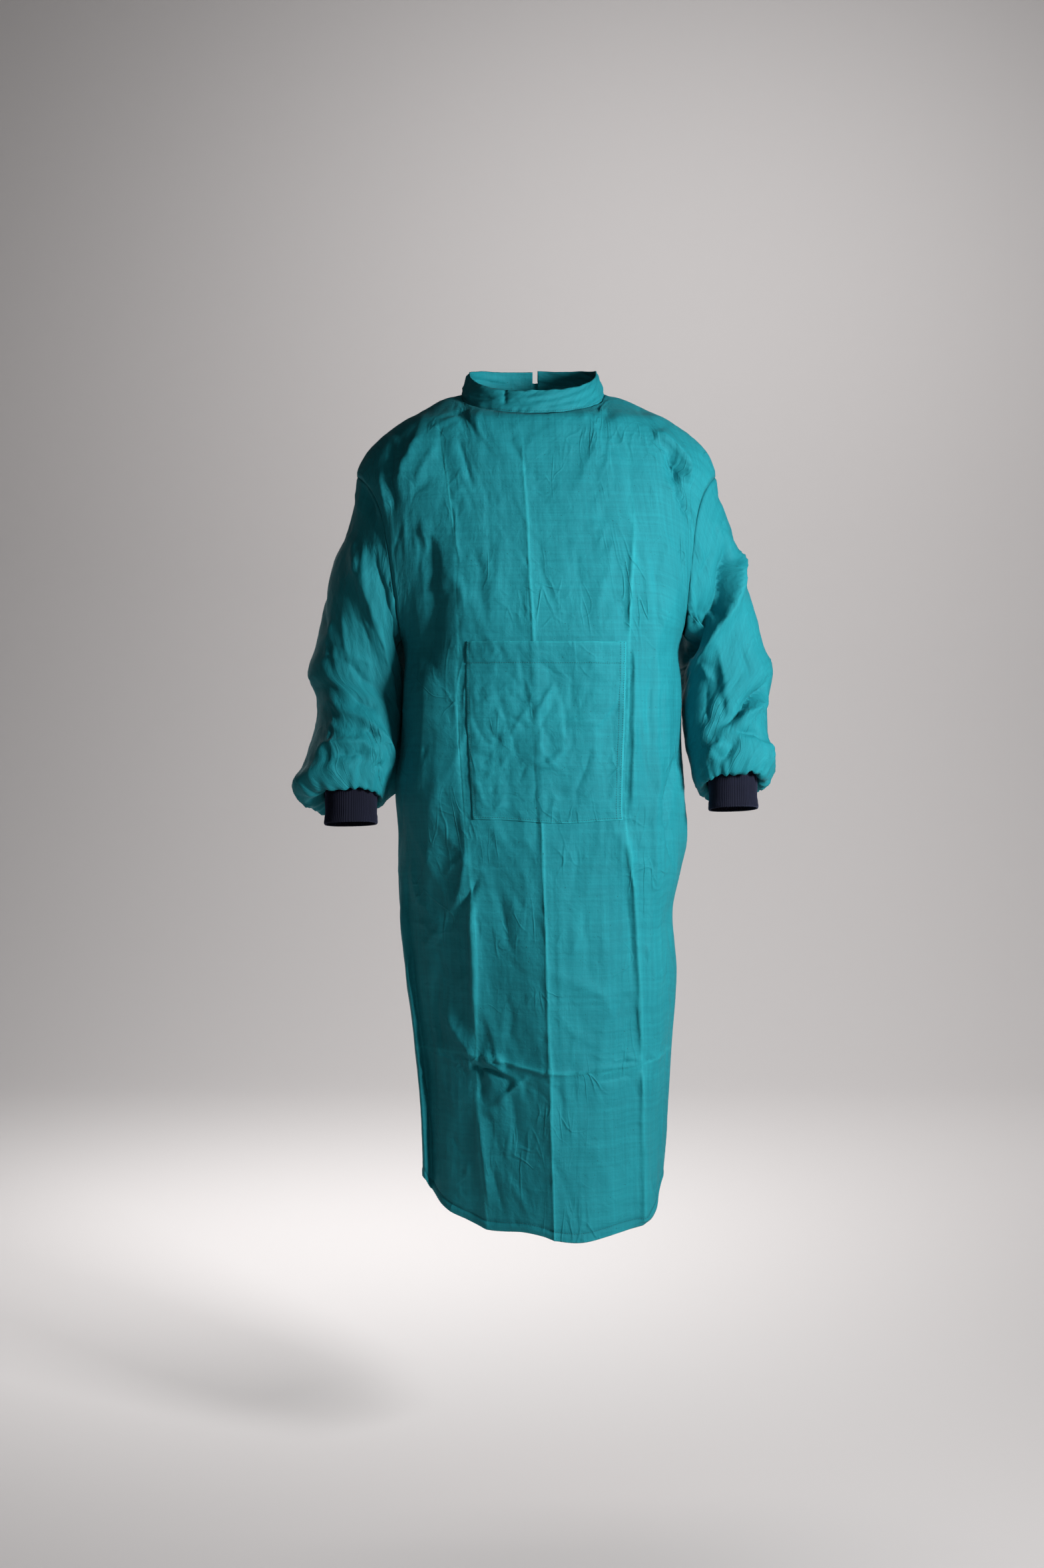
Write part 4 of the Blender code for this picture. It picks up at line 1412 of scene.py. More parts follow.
    def columns(self, index: np.ndarray) -> Columns:
        """The panel's columns.

        Args:
            index: Stations across the panel.

        Returns:
            Their upper ends and how near the armhole and neck they are.
        """
        half = self.half
        side = np.where(index <= half, -1.0, 1.0)
        i = np.where(index <= half, index, 2 * half - index)
        on_right = side < 0
        tips = [FORM.half_width(each, FORM.shoulder_tip_z) for each in Side]
        tip = side * np.where(on_right, *tips)
        tops = [FORM.crease_curves[each.label](FORM.neck_side_z) for each in Side]
        crease_top = np.where(on_right, *tops)
        corner_x = FORM.neck_points(side * math.pi / 2)[:, 0]
        flank = np.clip(i / self.flank_steps, 0, 1)
        x = tip + (crease_top - tip) * flank
        inner_x = crease_top + (corner_x - crease_top) * (i - self.flank_steps)
        x = np.where(i > self.flank_steps, inner_x, x)
        shoulder = np.stack([x, np.zeros(len(x)), FORM.shoulder_z(x)], -1)
        share = np.clip((i - self.flank_steps - 1) / self.neck_steps, 0, 1)
        middle_x = FORM.crease_curves["middle"](FORM.neck_front_z)
        middle = math.asin((float(middle_x) - FORM.neck_x) / FORM.neck_half_width)
        corner = side * math.pi / 2
        neckline = FORM.neck_points(corner + (middle - corner) * share)
        top = np.where((i > self.flank_steps + 1)[:, None], neckline, shoulder)
        edge = np.clip(1 - i / self.flank_steps, 0, 1) ** 2
        bottom_x = self.x_at(index, np.full(1, FORM.underarm_z))[:, 0]
        return Columns(top, bottom_x, edge, 1 - share)

    def x_at(self, index: np.ndarray, z: np.ndarray) -> np.ndarray:
        """Where the columns are at each height below the underarm.

        Args:
            index: Stations across the panel.
            z: Heights, as one row or as columns by rows.

        Returns:
            x, columns by rows.
        """
        half = self.half
        on_right = (index <= half)[:, None]
        i = np.where(index <= half, index, 2 * half - index)[:, None]
        side = np.where(on_right, -FORM.curves["right"](z), FORM.curves["left"](z))
        crease = np.where(on_right, FORM.crease_curves["right"](z), FORM.crease_curves["left"](z))
        middle = FORM.crease_curves["middle"](z)
        inner = crease + (middle - crease) * (i - self.flank_steps) / (half - self.flank_steps)
        return np.where(i <= self.flank_steps, flank_x(side, crease, i, self.flank_steps), inner)

    def lower(self, index: np.ndarray, v: np.ndarray) -> np.ndarray:
        """Points below the underarm.

        Args:
            index: Stations across the panel.
            v: Rows, from 0 at the underarm to 1 at the hem.

        Returns:
            Columns by rows by 3.
        """
        hem = FORM.hem_curve(self.x_at(index, np.full(1, FORM.hem_level_z)))
        z = FORM.underarm_z + (hem - FORM.underarm_z) * v
        x = self.x_at(index, z)
        y = FORM.depth_y(x, z, Face.FRONT) - FORM.crease_rise(x, z)
        return np.stack([x, y, z], -1)

    def build(self) -> Grid:
        """Work out the panel.

        Returns:
            Its grid, folded and crumpled, with its upper rows first.
        """
        creases = (self.flank_steps, self.half, 2 * self.half - self.flank_steps)
        self.index = even_stations(self.station_row, 2 * self.half, self.spacing, creases)
        self.upper_rows = int(UPPER_LENGTH / (self.row_spacing * FINENESS))
        lower_rows = int(FRONT_LENGTH / (self.row_spacing * FINENESS))
        upper = upper_points(self.columns(self.index), Face.FRONT, np.linspace(0, 1, self.upper_rows + 1))
        below = self.lower(self.index, self.row_places(lower_rows)[1:])
        points = self.ease_corners(np.concatenate([upper, below], 1))
        grid = Grid(points, points * [0, 0, 1])
        grid.raise_by(np.full(points.shape[:2], FORM.wall))
        self.lean_back(grid)
        self.press_creases(grid)
        grid.fold(self.folds, Face.FRONT, self.fold_gain, self.fold_narrow)
        grid.crumple(amount=0.0018, size=0.060, stretch=2.4, seed=11)
        for kind in self.creasing:
            grid.scatter(kind)
        self.sew_edges(grid)
        self.grid = grid
        return grid

    def row_places(self, count: int) -> np.ndarray:
        """Rows below the underarm, closer together at the crease across and at the hem.

        Args:
            count: How many steps.

        Returns:
            Their places, from 0 to 1.
        """
        tries = np.linspace(0, 1, 2001)
        density = np.ones(len(tries))
        for place, width, extra in self.row_crowds:
            density += extra * bell(tries - place, width)
        total = np.concatenate([[0], np.cumsum((density[1:] + density[:-1]) / 2)])
        return np.interp(np.linspace(0, total[-1], count + 1), total, tries)

    def ease_corners(self, points: np.ndarray) -> np.ndarray:
        """Smooth the cloth below the two corners where the shoulder seams meet the neckline.

        Args:
            points: Columns by rows by 3.

        Returns:
            The eased points; the upper edge stays as it is.
        """
        corners = (self.flank_steps + 1, 2 * self.half - self.flank_steps - 1)
        near = sum(bell(self.index - corner, self.corner_reach) for corner in corners)
        rows = np.arange(points.shape[1]) * self.row_spacing * FINENESS
        weight = near[:, None] * smooth_step(rows / 0.030)[None, :]
        eased = points.copy()
        for _ in range(self.corner_rounds):
            around = np.pad(eased, ((1, 1), (0, 0), (0, 0)), mode="edge")
            eased += (0.5 * weight)[..., None] * ((around[:-2] + around[2:]) / 2 - eased)
        return eased

    def lean_back(self, grid: Grid) -> None:
        """Turn the front's panels between the creases, so that each catches the light on its own.

        Args:
            grid: The front's grid.
        """
        x, z = grid.points[..., 0], grid.points[..., 2]
        heights = [row.z for row in self.lean]
        names = LeanAt._fields[1:]
        tables = {name: Profile(heights, [getattr(row, name) for row in self.lean]) for name in names}
        places = {name: FORM.crease_curves[name](z) for name in FORM.crease_curves}
        sides = {side: side.value * FORM.half_width(side, z) for side in Side}
        on_skirt = smooth_step((-0.55 - z) / 0.2)
        right_reach = self.flank_reach + (self.skirt_reach - self.flank_reach) * on_skirt
        stops = [
            (sides[Side.RIGHT], np.zeros_like(z)),
            (sides[Side.RIGHT] * right_reach, tables["right_flank"](z)),
            (places["right"], tables["right_crease"](z)),
            (places["middle"], tables["middle"](z)),
            (places["left"], tables["left_crease"](z)),
            (sides[Side.LEFT] * self.flank_reach, tables["left_flank"](z)),
            (sides[Side.LEFT], np.zeros_like(z)),
        ]
        back = np.zeros_like(z)
        for (start, low), (end, high) in zip(stops[:-1], stops[1:], strict=True):
            share = (x - start) / np.maximum(end - start, 1e-4)
            inside = (share >= 0) & (share < 1)
            back = np.where(inside, low + (high - low) * np.clip(share, 0, 1), back)
        heights = [row[0] for row in self.crease_share]
        for k, name in enumerate(places, 1):
            shares = Profile(heights, [row[k] for row in self.crease_share])
            rise = FORM.crease_heights[name] * np.exp(-np.abs(x - places[name]) / FORM.crease_width)
            grid.points[..., 1] += rise * (1 - shares(z)) * smooth_step((0.0 - z) / 0.1)
        ramp = smooth_step((z - FORM.shoulder_tip_z) / (FORM.underarm_z - FORM.shoulder_tip_z) * 1.3)
        grid.points[..., 1] += back * MM * ramp
        grid.points[..., 2] -= np.maximum(back, 0) * MM * self.hem_drop * smooth_step((-1.0 - z) / 0.2)

    def press_creases(self, grid: Grid) -> None:
        """Add the sharp edge of each pressed crease, which wanders a little, and paint the creases paler,
        partly as wear and partly as a painted highlight along their ridges.

        Args:
            grid: The front's grid.
        """
        x, z = grid.points[..., 0], grid.points[..., 2]
        height = np.zeros(x.shape)
        below_neck = smooth_step((-0.05 - z) / 0.05)
        for k, name in enumerate(FORM.crease_curves):
            wander = lattice_noise(z / 0.09, z * 0, 40 + k) * self.crease_wander
            away = np.abs(x - FORM.crease_curves[name](z) - wander)
            edge = np.exp(-away / (self.crease_edge_width * MM))
            strength = 0.7 + 0.3 * lattice_noise(z / 0.13, z * 0, 50 + k)
            height += self.crease_edge * MM * edge * strength * below_neck
            # paler along each crease: partly wear, partly a painted highlight on its ridge
            grid.press = np.maximum(grid.press, edge * strength * below_neck)
        across = Profile(*zip(*self.crease_across, strict=True))
        # the crease across painted paler: partly wear, partly a painted highlight along its line
        edge = np.exp(-np.abs(z - across(x)) / 0.002)
        grid.press = np.maximum(grid.press, edge * 0.7)
        grid.raise_by(height)

    def sew_edges(self, grid: Grid) -> None:
        """Draw the cloth in along its seams, give the hem its folded band, paint a highlight along its edge,
        and darken the line of its stitches.

        Args:
            grid: The front's grid.
        """
        u, v = grid.lengths()
        from_hem = v[:, -1:] - v
        to_side = np.minimum(u, u[-1:] - u)
        height = -SEAM_SINK * np.exp(-to_side / SEAM_REACH)
        height += HEM_RISE * smooth_step((HEM_FOLD - from_hem) / EDGE_RAMP)
        by_stitches = bell(from_hem - HEM_FOLD, 0.005)
        height += self.pucker * (lattice_noise(u / 0.009, u * 0 + 3.0, 71) * by_stitches)
        height -= self.stitch_sink * bell(from_hem - HEM_FOLD + EDGE_RAMP, self.stitch_reach)
        wave = lattice_noise(u / 0.045, u * 0 + 9.0, 72) * np.exp(-from_hem / 0.05)
        height += self.hem_wave * wave
        # painted highlight along the rolled hem edge
        grid.press = np.maximum(grid.press, 0.7 * np.exp(-from_hem / 0.002))
        # darker along the hem's stitches
        grid.press -= 0.5 * bell(from_hem - HEM_FOLD, self.stitch_reach)
        neckward = np.exp(-v / 0.004) * (self.columns(self.index).neck < 1)[:, None]
        height += self.neck_pucker * lattice_noise(u / 0.007, u * 0 + 5.0, 73) * neckward
        grid.raise_by(height)


@dataclass
class BackPanel:
    """One of the two backs, which lap over each other in the middle."""

    side: Side
    spacing: float = 0.0062
    shoulder_steps: float = 6.0
    neck_steps: float = 3.0
    lap_steps: float = 4.0
    lap: float = 0.045
    lap_clearance: float = 0.0016
    lap_rise: tuple[float, float] = (0.110, 0.062)
    flank_steps: float = 5.0
    drape: float = 0.0055
    drape_waves: float = 3.0
    back_hem: float = 0.012  # width of the folded edge where the backs open
    back_hem_rise: float = 0.0005
    creasing: tuple[Scatter, ...] = (
        Scatter(115, 0.0017, (0.03, 0.16), (0.005, 0.016), 22, 37, 0.05),
        Scatter(260, 0.0011, (0.015, 0.05), (0.0040, 0.008), 50, 34, 0.03),
    )

    def station_row(self, index: np.ndarray) -> np.ndarray:
        """The row on which the columns are spaced."""
        return self.lower(index, np.array([STATION_ROW]))[:, 0]

    def x_of(self, index: np.ndarray, side_x: np.ndarray) -> np.ndarray:
        """x of the columns at one height.

        Args:
            index: Stations across the panel.
            side_x: x of the side seam.

        Returns:
            x of each column.
        """
        steps = self.shoulder_steps + self.neck_steps
        sign = self.side.value
        flank = flank_x(side_x, sign * self.lap, index, steps)
        lapped = sign * self.lap * (1 - (index - steps) / 2)
        return np.where(index <= steps, flank, lapped)

    def columns(self, index: np.ndarray) -> Columns:
        """The panel's columns.

        Args:
            index: Stations across the panel.

        Returns:
            Their upper ends and how near the armhole and neck they are.
        """
        sign = self.side.value
        tip = sign * float(FORM.half_width(self.side, FORM.shoulder_tip_z))
        corner = sign * math.pi / 2
        corner_x = float(FORM.neck_points(np.array([corner]))[0, 0])
        x = tip + (corner_x - tip) * np.clip(index / self.shoulder_steps, 0, 1)
        shoulder = np.stack([x, np.zeros(len(x)), FORM.shoulder_z(x)], -1)
        lap_angle = float(FORM.nape_angle(sign * self.lap))
        share = np.clip((index - self.shoulder_steps) / self.neck_steps, 0, 1)
        on_neck = FORM.neck_points(corner + (lap_angle - corner) * share)
        steps = self.shoulder_steps + self.neck_steps
        lap_x = sign * self.lap * (1 - (np.maximum(index, steps) - steps) / 2)
        on_lap = FORM.neck_points(FORM.nape_angle(lap_x))
        top = np.where((index > self.shoulder_steps)[:, None], on_neck, shoulder)
        top = np.where((index > steps)[:, None], on_lap, top)
        edge = np.clip(1 - index / self.flank_steps, 0, 1) ** 2
        side_x = sign * float(FORM.half_width(self.side, FORM.underarm_z))
        return Columns(top, self.x_of(index, np.full(len(index), side_x)), edge, 1 - share)

    def lower(self, index: np.ndarray, v: np.ndarray) -> np.ndarray:
        """Points below the underarm.

        Args:
            index: Stations across the panel.
            v: Rows, from 0 at the underarm to 1 at the hem.

        Returns:
            Columns by rows by 3.
        """
        sign = self.side.value
        side_x = float(FORM.half_width(self.side, FORM.underarm_z))
        start = self.x_of(index, np.full(len(index), sign * side_x))
        share = np.clip((sign * start - self.lap) / (side_x - self.lap), 0, 1)[:, None]
        hem = FORM.hem_back_z + (FORM.hem_side_z - FORM.hem_back_z) * share**2
        z = FORM.underarm_z + (hem - FORM.underarm_z) * v
        outer = sign * (self.lap + (FORM.half_width(self.side, z) - self.lap) * share)
        x = np.where(share > 0, outer, start[:, None])
        return np.stack([x, FORM.depth_y(x, z, Face.BACK), z], -1)

    def build(self) -> Grid:
        """Work out the panel.

        Returns:
            Its grid, folded and crumpled.
        """
        end = self.shoulder_steps + self.neck_steps + self.lap_steps
        index = even_stations(self.station_row, end, self.spacing)
        self.upper_rows = int(UPPER_LENGTH / (FrontPanel.row_spacing * FINENESS))
        lower_rows = int(BACK_LENGTH / (self.spacing * FINENESS))
        upper = upper_points(self.columns(index), Face.BACK, np.linspace(0, 1, self.upper_rows + 1))
        below = self.lower(index, np.linspace(0, 1, lower_rows + 1)[1:])
        points = np.concatenate([upper, below], 1)
        grid = Grid(points, points * [0, 0, 1])
        grid.raise_by(np.full(points.shape[:2], FORM.wall))
        self.drape_down(grid)
        grid.fold(BACK_FOLDS[self.side], Face.BACK)
        grid.crumple(amount=0.0018, size=0.070, stretch=2.6, seed=31 + self.side.value)
        for kind in self.creasing:
            grid.scatter(kind._replace(seed=kind.seed + self.side.value))
        if self.side is Side.LEFT:
            start, full = self.lap_rise
            over = smooth_step((start - grid.points[..., 0]) / (start - full))
            grid.raise_by((CLOTH_WALL + self.lap_clearance) * over)
        u, v = grid.lengths()
        # painted highlight along the rolled edges of the hem and the lap
        grid.press = 0.6 * np.exp(-np.minimum(u[-1:] - u, v[:, -1:] - v) / 0.002)
        from_hem = v[:, -1:] - v
        from_lap = u[-1:] - u
        height = -SEAM_SINK * np.exp(-u / SEAM_REACH)
        height += HEM_RISE * smooth_step((HEM_FOLD - from_hem) / EDGE_RAMP)
        height += self.back_hem_rise * smooth_step((self.back_hem - from_lap) / EDGE_RAMP)
        grid.raise_by(height)
        self.grid = grid
        return grid

    def drape_down(self, grid: Grid) -> None:
        """Give the skirt slow waves that deepen towards the hem, clear of the side seam and the lap.

        Args:
            grid: The back's grid.
        """
        x, z = grid.points[..., 0], grid.points[..., 2]
        side_x = self.side.value * FORM.half_width(self.side, z)
        across = np.clip((side_x - x) / (side_x - self.side.value * 0.02), 0, 1)
        wander = 0.10 * lattice_noise(z / 0.35, z * 0, 21 + self.side.value)
        wave = np.cos(2 * math.pi * (self.drape_waves * (across + wander)) + self.side.value)
        inside = smooth_step(across / 0.2), smooth_step((1 - across) / 0.25)
        depth = smooth_step((-0.42 - z) / 0.65) * inside[0] * inside[1]
        grid.raise_by(self.drape * wave * depth)


BACK_FOLDS = {
    Side.LEFT: (
        # pressed while it was kept folded
        Fold(((118, -100), (126, -350), (130, -700), (140, -1140)), 2.4, 5, 5, Shape.PRESSED, (0.1, 0.02)),
        Fold(((10, -966), (100, -972), (190, -958)), 1.6, 6, 6, Shape.PRESSED, (0.02, 0.05)),
        # from the shoulder blade down
        Fold(((80, -45), (90, -120), (75, -210)), -3.0, 12, 10),
        Fold(((175, -90), (150, -190), (158, -300), (148, -400)), 5.0, 16, 12),
        Fold(((205, -170), (190, -250), (196, -330)), -6.0, 10, 12),
        Fold(((40, -110), (52, -230), (46, -330)), 2.5, 12, 14),
        # pulled towards the tied waist
        Fold(((-30, -405), (40, -392), (110, -362), (170, -318)), -4.0, 9, 12),
        Fold(((-20, -432), (60, -440), (140, -428)), -3.5, 8, 8),
        Fold(((-10, -450), (50, -492), (110, -560), (130, -640)), -4.5, 10, 9),
        Fold(((-10, -418), (70, -412), (150, -385)), 3.0, 6, 6),
        Fold(((180, -450), (172, -560), (180, -680), (168, -800)), 5.0, 12, 14),
        Fold(((60, -760), (72, -880), (66, -960)), 3.5, 9, 14),
    ),
    Side.RIGHT: (
        Fold(((-126, -100), (-118, -350), (-108, -700), (-98, -1140)), 2.4, 5, 5, Shape.PRESSED, (0.1, 0.02)),
        Fold(((-170, -955), (-100, -968), (-45, -966)), 1.6, 6, 6, Shape.PRESSED, (0.05, 0.02)),
        Fold(((-80, -50), (-96, -130), (-88, -230)), -2.6, 10, 12),
        Fold(((-178, -95), (-158, -190), (-150, -290), (-162, -380)), 5.0, 12, 16),
        Fold(((-208, -170), (-194, -250), (-190, -330)), -6.0, 12, 10),
        Fold(((-128, -398), (-155, -372), (-180, -338)), -4.0, 9, 8),
        Fold(((-130, -436), (-160, -452), (-186, -480)), -4.0, 8, 9),
        Fold(((-118, -470), (-138, -540), (-136, -640)), -4.5, 9, 10),
        Fold(((-172, -500), (-164, -600), (-172, -720)), 5.0, 14, 12),
        Fold(((-60, -640), (-72, -760), (-64, -880)), 3.5, 12, 9),
    ),
}


# ---- Sleeves and cuffs ----


def superellipse(ring: Ring, count: int, roundness: float = 2.35) -> np.ndarray:
    """Points round a sleeve's section.

    Args:
        ring: The section.
        count: How many.
        roundness: 2 is an ellipse, more is squarer.

    Returns:
        The points, the outermost first, then down the front.
    """
    outer = np.array([ring.outer_x, ring.y, ring.outer_z])
    inner = np.array([ring.inner_x, ring.y, ring.inner_z])
    forward = np.array([0, -ring.depth, ring.lift])
    angle = 2 * math.pi * np.arange(count) / count
    across = np.sign(np.cos(angle)) * np.abs(np.cos(angle)) ** (2 / roundness)
    along = np.sign(np.sin(angle)) * np.abs(np.sin(angle)) ** (2 / roundness)
    return (outer + inner) / 2 + np.outer(across, (outer - inner) / 2) + np.outer(along, forward)


class Pleats(NamedTuple):
    """Gathers round a sleeve's end: how many, how deep in millimetres, and how far up they reach."""

    count: int
    depth: float
    reach: float


@dataclass
class Sleeve:
    """A long sleeve, from the armhole to the cuff, gathered at its end."""

    side: Side
    rings: tuple[Ring, ...]
    folds: tuple[Fold, ...]
    over: float  # how far its front reaches over the body
    behind: float  # how far its back reaches behind the body
    reach_rings: tuple[float, float, float, float]  # where that starts, is full, ebbs and ends
    spacing: float = 0.0038
    blend_rings: float = 6.0
    gather_seed: int = 5
    fold_gain: float = 1.3
    fold_narrow: float = 0.8
    creasing: Scatter = Scatter(150, 0.0017, (0.02, 0.09), (0.0035, 0.010), 50, 65)
    pleats: tuple[Pleats, ...] = (Pleats(42, 2.0, 0.013), Pleats(21, 3.1, 0.030), Pleats(9, 3.4, 0.050))

    def build(self, front: Grid, back: Grid, upper_rows: int) -> Grid:
        """Work out the sleeve.

        Args:
            front: The front's finished grid.
            back: The back's finished grid on this side.
            upper_rows: Rows between their upper ends and the underarm.

        Returns:
            Its grid, with the points round it as rows.
        """
        edge = 0 if self.side is Side.RIGHT else -1
        loop = np.vstack([front.points[edge, : upper_rows + 1], back.points[0, 1:upper_rows][::-1]])
        count = len(loop)
        places = range(len(self.rings))
        curves = [Profile(places, values) for values in zip(*self.rings, strict=True)]
        stations = np.linspace(0, len(self.rings) - 1, 400)
        middle = np.stack([(curves[0](stations) + curves[2](stations)) / 2, curves[4](stations)], -1)
        heights = (curves[1](stations) + curves[3](stations)) / 2
        steps = np.linalg.norm(np.diff(np.column_stack([middle, heights]), axis=0), axis=1)
        length = np.concatenate([[0], np.cumsum(np.maximum(steps, 0.0004))])
        number = int(length[-1] / (self.spacing * FINENESS))
        stations = np.interp(np.linspace(0, length[-1], number + 1), length, stations)
        first = superellipse(self.rings[0], count)
        made = []
        start, full, low, end = self.reach_rings
        for s in stations:
            ring = Ring(*(float(curve(s)) for curve in curves))
            fade = max(0.0, 1 - s / self.blend_rings) ** 2
            points = superellipse(ring, count) + (loop - first) * fade
            window = smooth_step((s - start) / (full - start)) * smooth_step((end - s) / (end - low))
            forward = (ring.y - points[:, 1]) / ring.depth
            reach = self.over * np.clip(forward, 0, 1) + self.behind * np.clip(-forward, 0, 1)
            points[:, 0] -= self.side.value * float(window) * reach
            made.append(points)
        points = np.array(made)
        away = points[1] - points[0]
        away /= np.linalg.norm(away, axis=-1, keepdims=True)
        points[0] = loop + away * SEAM_GAP
        grid = Grid(points, points.mean(1, keepdims=True), closed=True)
        grid.fold(self.folds, Face.FRONT, self.fold_gain, self.fold_narrow)
        mirrored = []
        for item in SLEEVE_BACK_FOLDS:
            line = tuple((self.side.value * x, z) for x, z in item.line)
            mirrored.append(item._replace(line=line))
        grid.fold(mirrored, Face.BACK, self.fold_gain, self.fold_narrow)
        grid.crumple(amount=0.0016, size=0.045, stretch=1.0, seed=61 + self.side.value)
        grid.scatter(self.creasing._replace(seed=self.creasing.seed + self.side.value))
        self.gather(grid)
        self.grid = grid
        return grid

    def gather(self, grid: Grid) -> None:
        """Draw the sleeve's end into small pleats at the cuff, and set in its upper edge.

        Args:
            grid: The sleeve's grid.
        """
        u, _ = grid.lengths()
        to_cuff = u[-1:] - u
        around = np.linspace(0, 1, grid.points.shape[1], endpoint=False)[None, :]
        height = np.zeros(to_cuff.shape)
        strength = 0.65 + 0.5 * lattice_noise(around * 17, around * 0 + 2, self.gather_seed)
        for pleats in self.pleats:
            shift = lattice_noise(around * 9, around * 0, self.gather_seed + pleats.count) * 1.4
            wave = np.cos(2 * math.pi * pleats.count * around + shift * 2)
            height += pleats.depth * MM * wave * strength * np.exp(-((to_cuff / pleats.reach) ** 1.5))
        height -= SEAM_SINK * np.exp(-u / 0.0025)
        height *= 1 - 0.6 * np.exp(-to_cuff / 0.0015)
        grid.raise_by(height)


@dataclass
class Cuff:
    """A rib-knit tube that starts inside the sleeve's end."""

    side: Side
    last: Ring
    length: float = 0.042
    tuck: float = 0.007
    forward: float = 0.010
    levelling: float = 0.7
    inset: float = 0.0012
    ribs: int = 84
    points_a_rib: int = 4
    rib_height: float = 0.0006
    rows: int = 26
    waist: float = 0.0012  # how far it narrows at mid length
    flare: float = 0.0008  # how far its lower end opens again
    roll: float = 0.0010  # of the edge, where the doubled knit ends
    bulges: float = 0.0007
    wall: float = 0.0016

    def build(self) -> Grid:
        """Work out the cuff.

        Returns:
            Its grid, with the points round it as rows.
        """
        count = self.ribs * self.points_a_rib
        sign = self.side.value
        rows = max(8, int(self.rows / FINENESS))
        made = []
        for drop in np.linspace(self.tuck, -self.length, rows + 1):
            below = max(0.0, -drop) / self.length
            flare = self.flare * float(smooth_step(np.array(below - 0.75) * 6))
            waist = self.waist * math.sin(math.pi * min(1.0, below)) - flare
            ring = Ring(
                self.last.outer_x - sign * (self.inset + waist),
                self.last.outer_z + drop,
                self.last.inner_x + sign * (self.inset + waist),
                self.last.inner_z + drop,
                self.last.y - self.forward * below,
                self.last.depth - self.inset - waist,
                self.last.lift * (1 - self.levelling * below),
            )
            made.append(superellipse(ring, count))
        points = np.array(made)
        grid = Grid(points, points.mean(1, keepdims=True), closed=True)
        around = np.linspace(0, 1, count, endpoint=False)[None, :]
        down = np.linspace(0, 1, rows + 1)[:, None]
        rib = np.cos(2 * math.pi * self.ribs * around)
        height = self.rib_height * rib * np.ones_like(down)
        uneven = 0.6 + 0.6 * lattice_noise(around * 6, around * 0, 7)
        roll = self.roll * bell(down - 0.80, 0.05) * uneven
        height += roll + self.bulges * lattice_noise(around * 11, down * 5, 81)
        height -= self.roll * smooth_step((down - 0.95) / 0.05)
        grid.raise_by(height)
        self.grid = grid
        return grid


# ---- Collar, pocket and ties ----


@dataclass
class Collar:
    """The stand collar, a doubled band that is open at the nape."""

    height: float = 0.035
    lean: float = 0.010
    opening: float = 0.004
    seam: float = 0.0010
    wall: float = 0.0022
    spacing: float = 0.0022
    stitch_up: float = 0.0042
    rows: int = 16
    neck_radius: float = 0.098  # on average, to count the columns
    edge_wave: float = 0.0012
    bulge: float = 0.0016
    ripple: float = 0.0014
    pucker: float = 0.0006
    stitch_sink: float = 0.0007
    edge_ripple: float = 0.0005
    kink: float = 0.0036
    kink_x: float = -0.045

    def build(self) -> Grid:
        """Work out the band.

        Returns:
            Its grid: columns round the neck, rows from its upper edge down.
        """
        start = float(FORM.nape_angle(-self.opening))
        end = float(FORM.nape_angle(self.opening))
        reach = self.neck_radius * abs(end - start)
        count = int(reach / (self.spacing * FINENESS))
        angle = np.linspace(start, end, count + 1)
        base = FORM.neck_points(angle)
        inward = np.stack([-np.sin(angle), np.cos(angle), np.zeros(len(angle))], -1)
        base = base + (inward + np.array([0, 0, 0.4])) * self.seam
        rows = max(6, int(self.rows / FINENESS))
        up = np.linspace(1, 0, rows + 1)
        along = np.linspace(0, 1, len(angle))
        edge = self.edge_wave * lattice_noise(along * 13, along * 0, 91)
        rise = (self.height + edge)[:, None] * up
        lean = self.lean * up - self.bulge * np.sin(math.pi * up)
        points = base[:, None] + inward[:, None] * lean[None, :, None]
        points[..., 2] += rise
        grid = Grid(points, points * [0, 0, 1] + [FORM.neck_x, 0, 0])
        u, v = grid.lengths()
        low = v[:, -1:] - v
        height = self.ripple * lattice_noise(u / 0.020, v / 0.008, 92)
        height += self.ripple * (1 - 2 * np.abs(lattice_noise(u / 0.055, v / 0.007 + u / 0.05, 93)))
        from_stitches = low - self.stitch_up
        height += self.pucker * lattice_noise(u / 0.0065, u * 0 + 2, 94) * bell(from_stitches, 0.005)
        height -= self.stitch_sink * bell(from_stitches, 0.0012)
        height += self.edge_ripple * lattice_noise(u / 0.006, u * 0, 95) * np.exp(-v / 0.003)
        kink = np.exp(-np.abs(grid.points[..., 0] - self.kink_x) / 0.0035) * (grid.points[..., 1] < 0)
        height -= self.kink * kink * smooth_step((low - 0.008) / 0.01)
        grid.raise_by(height)
        self.grid = grid
        return grid


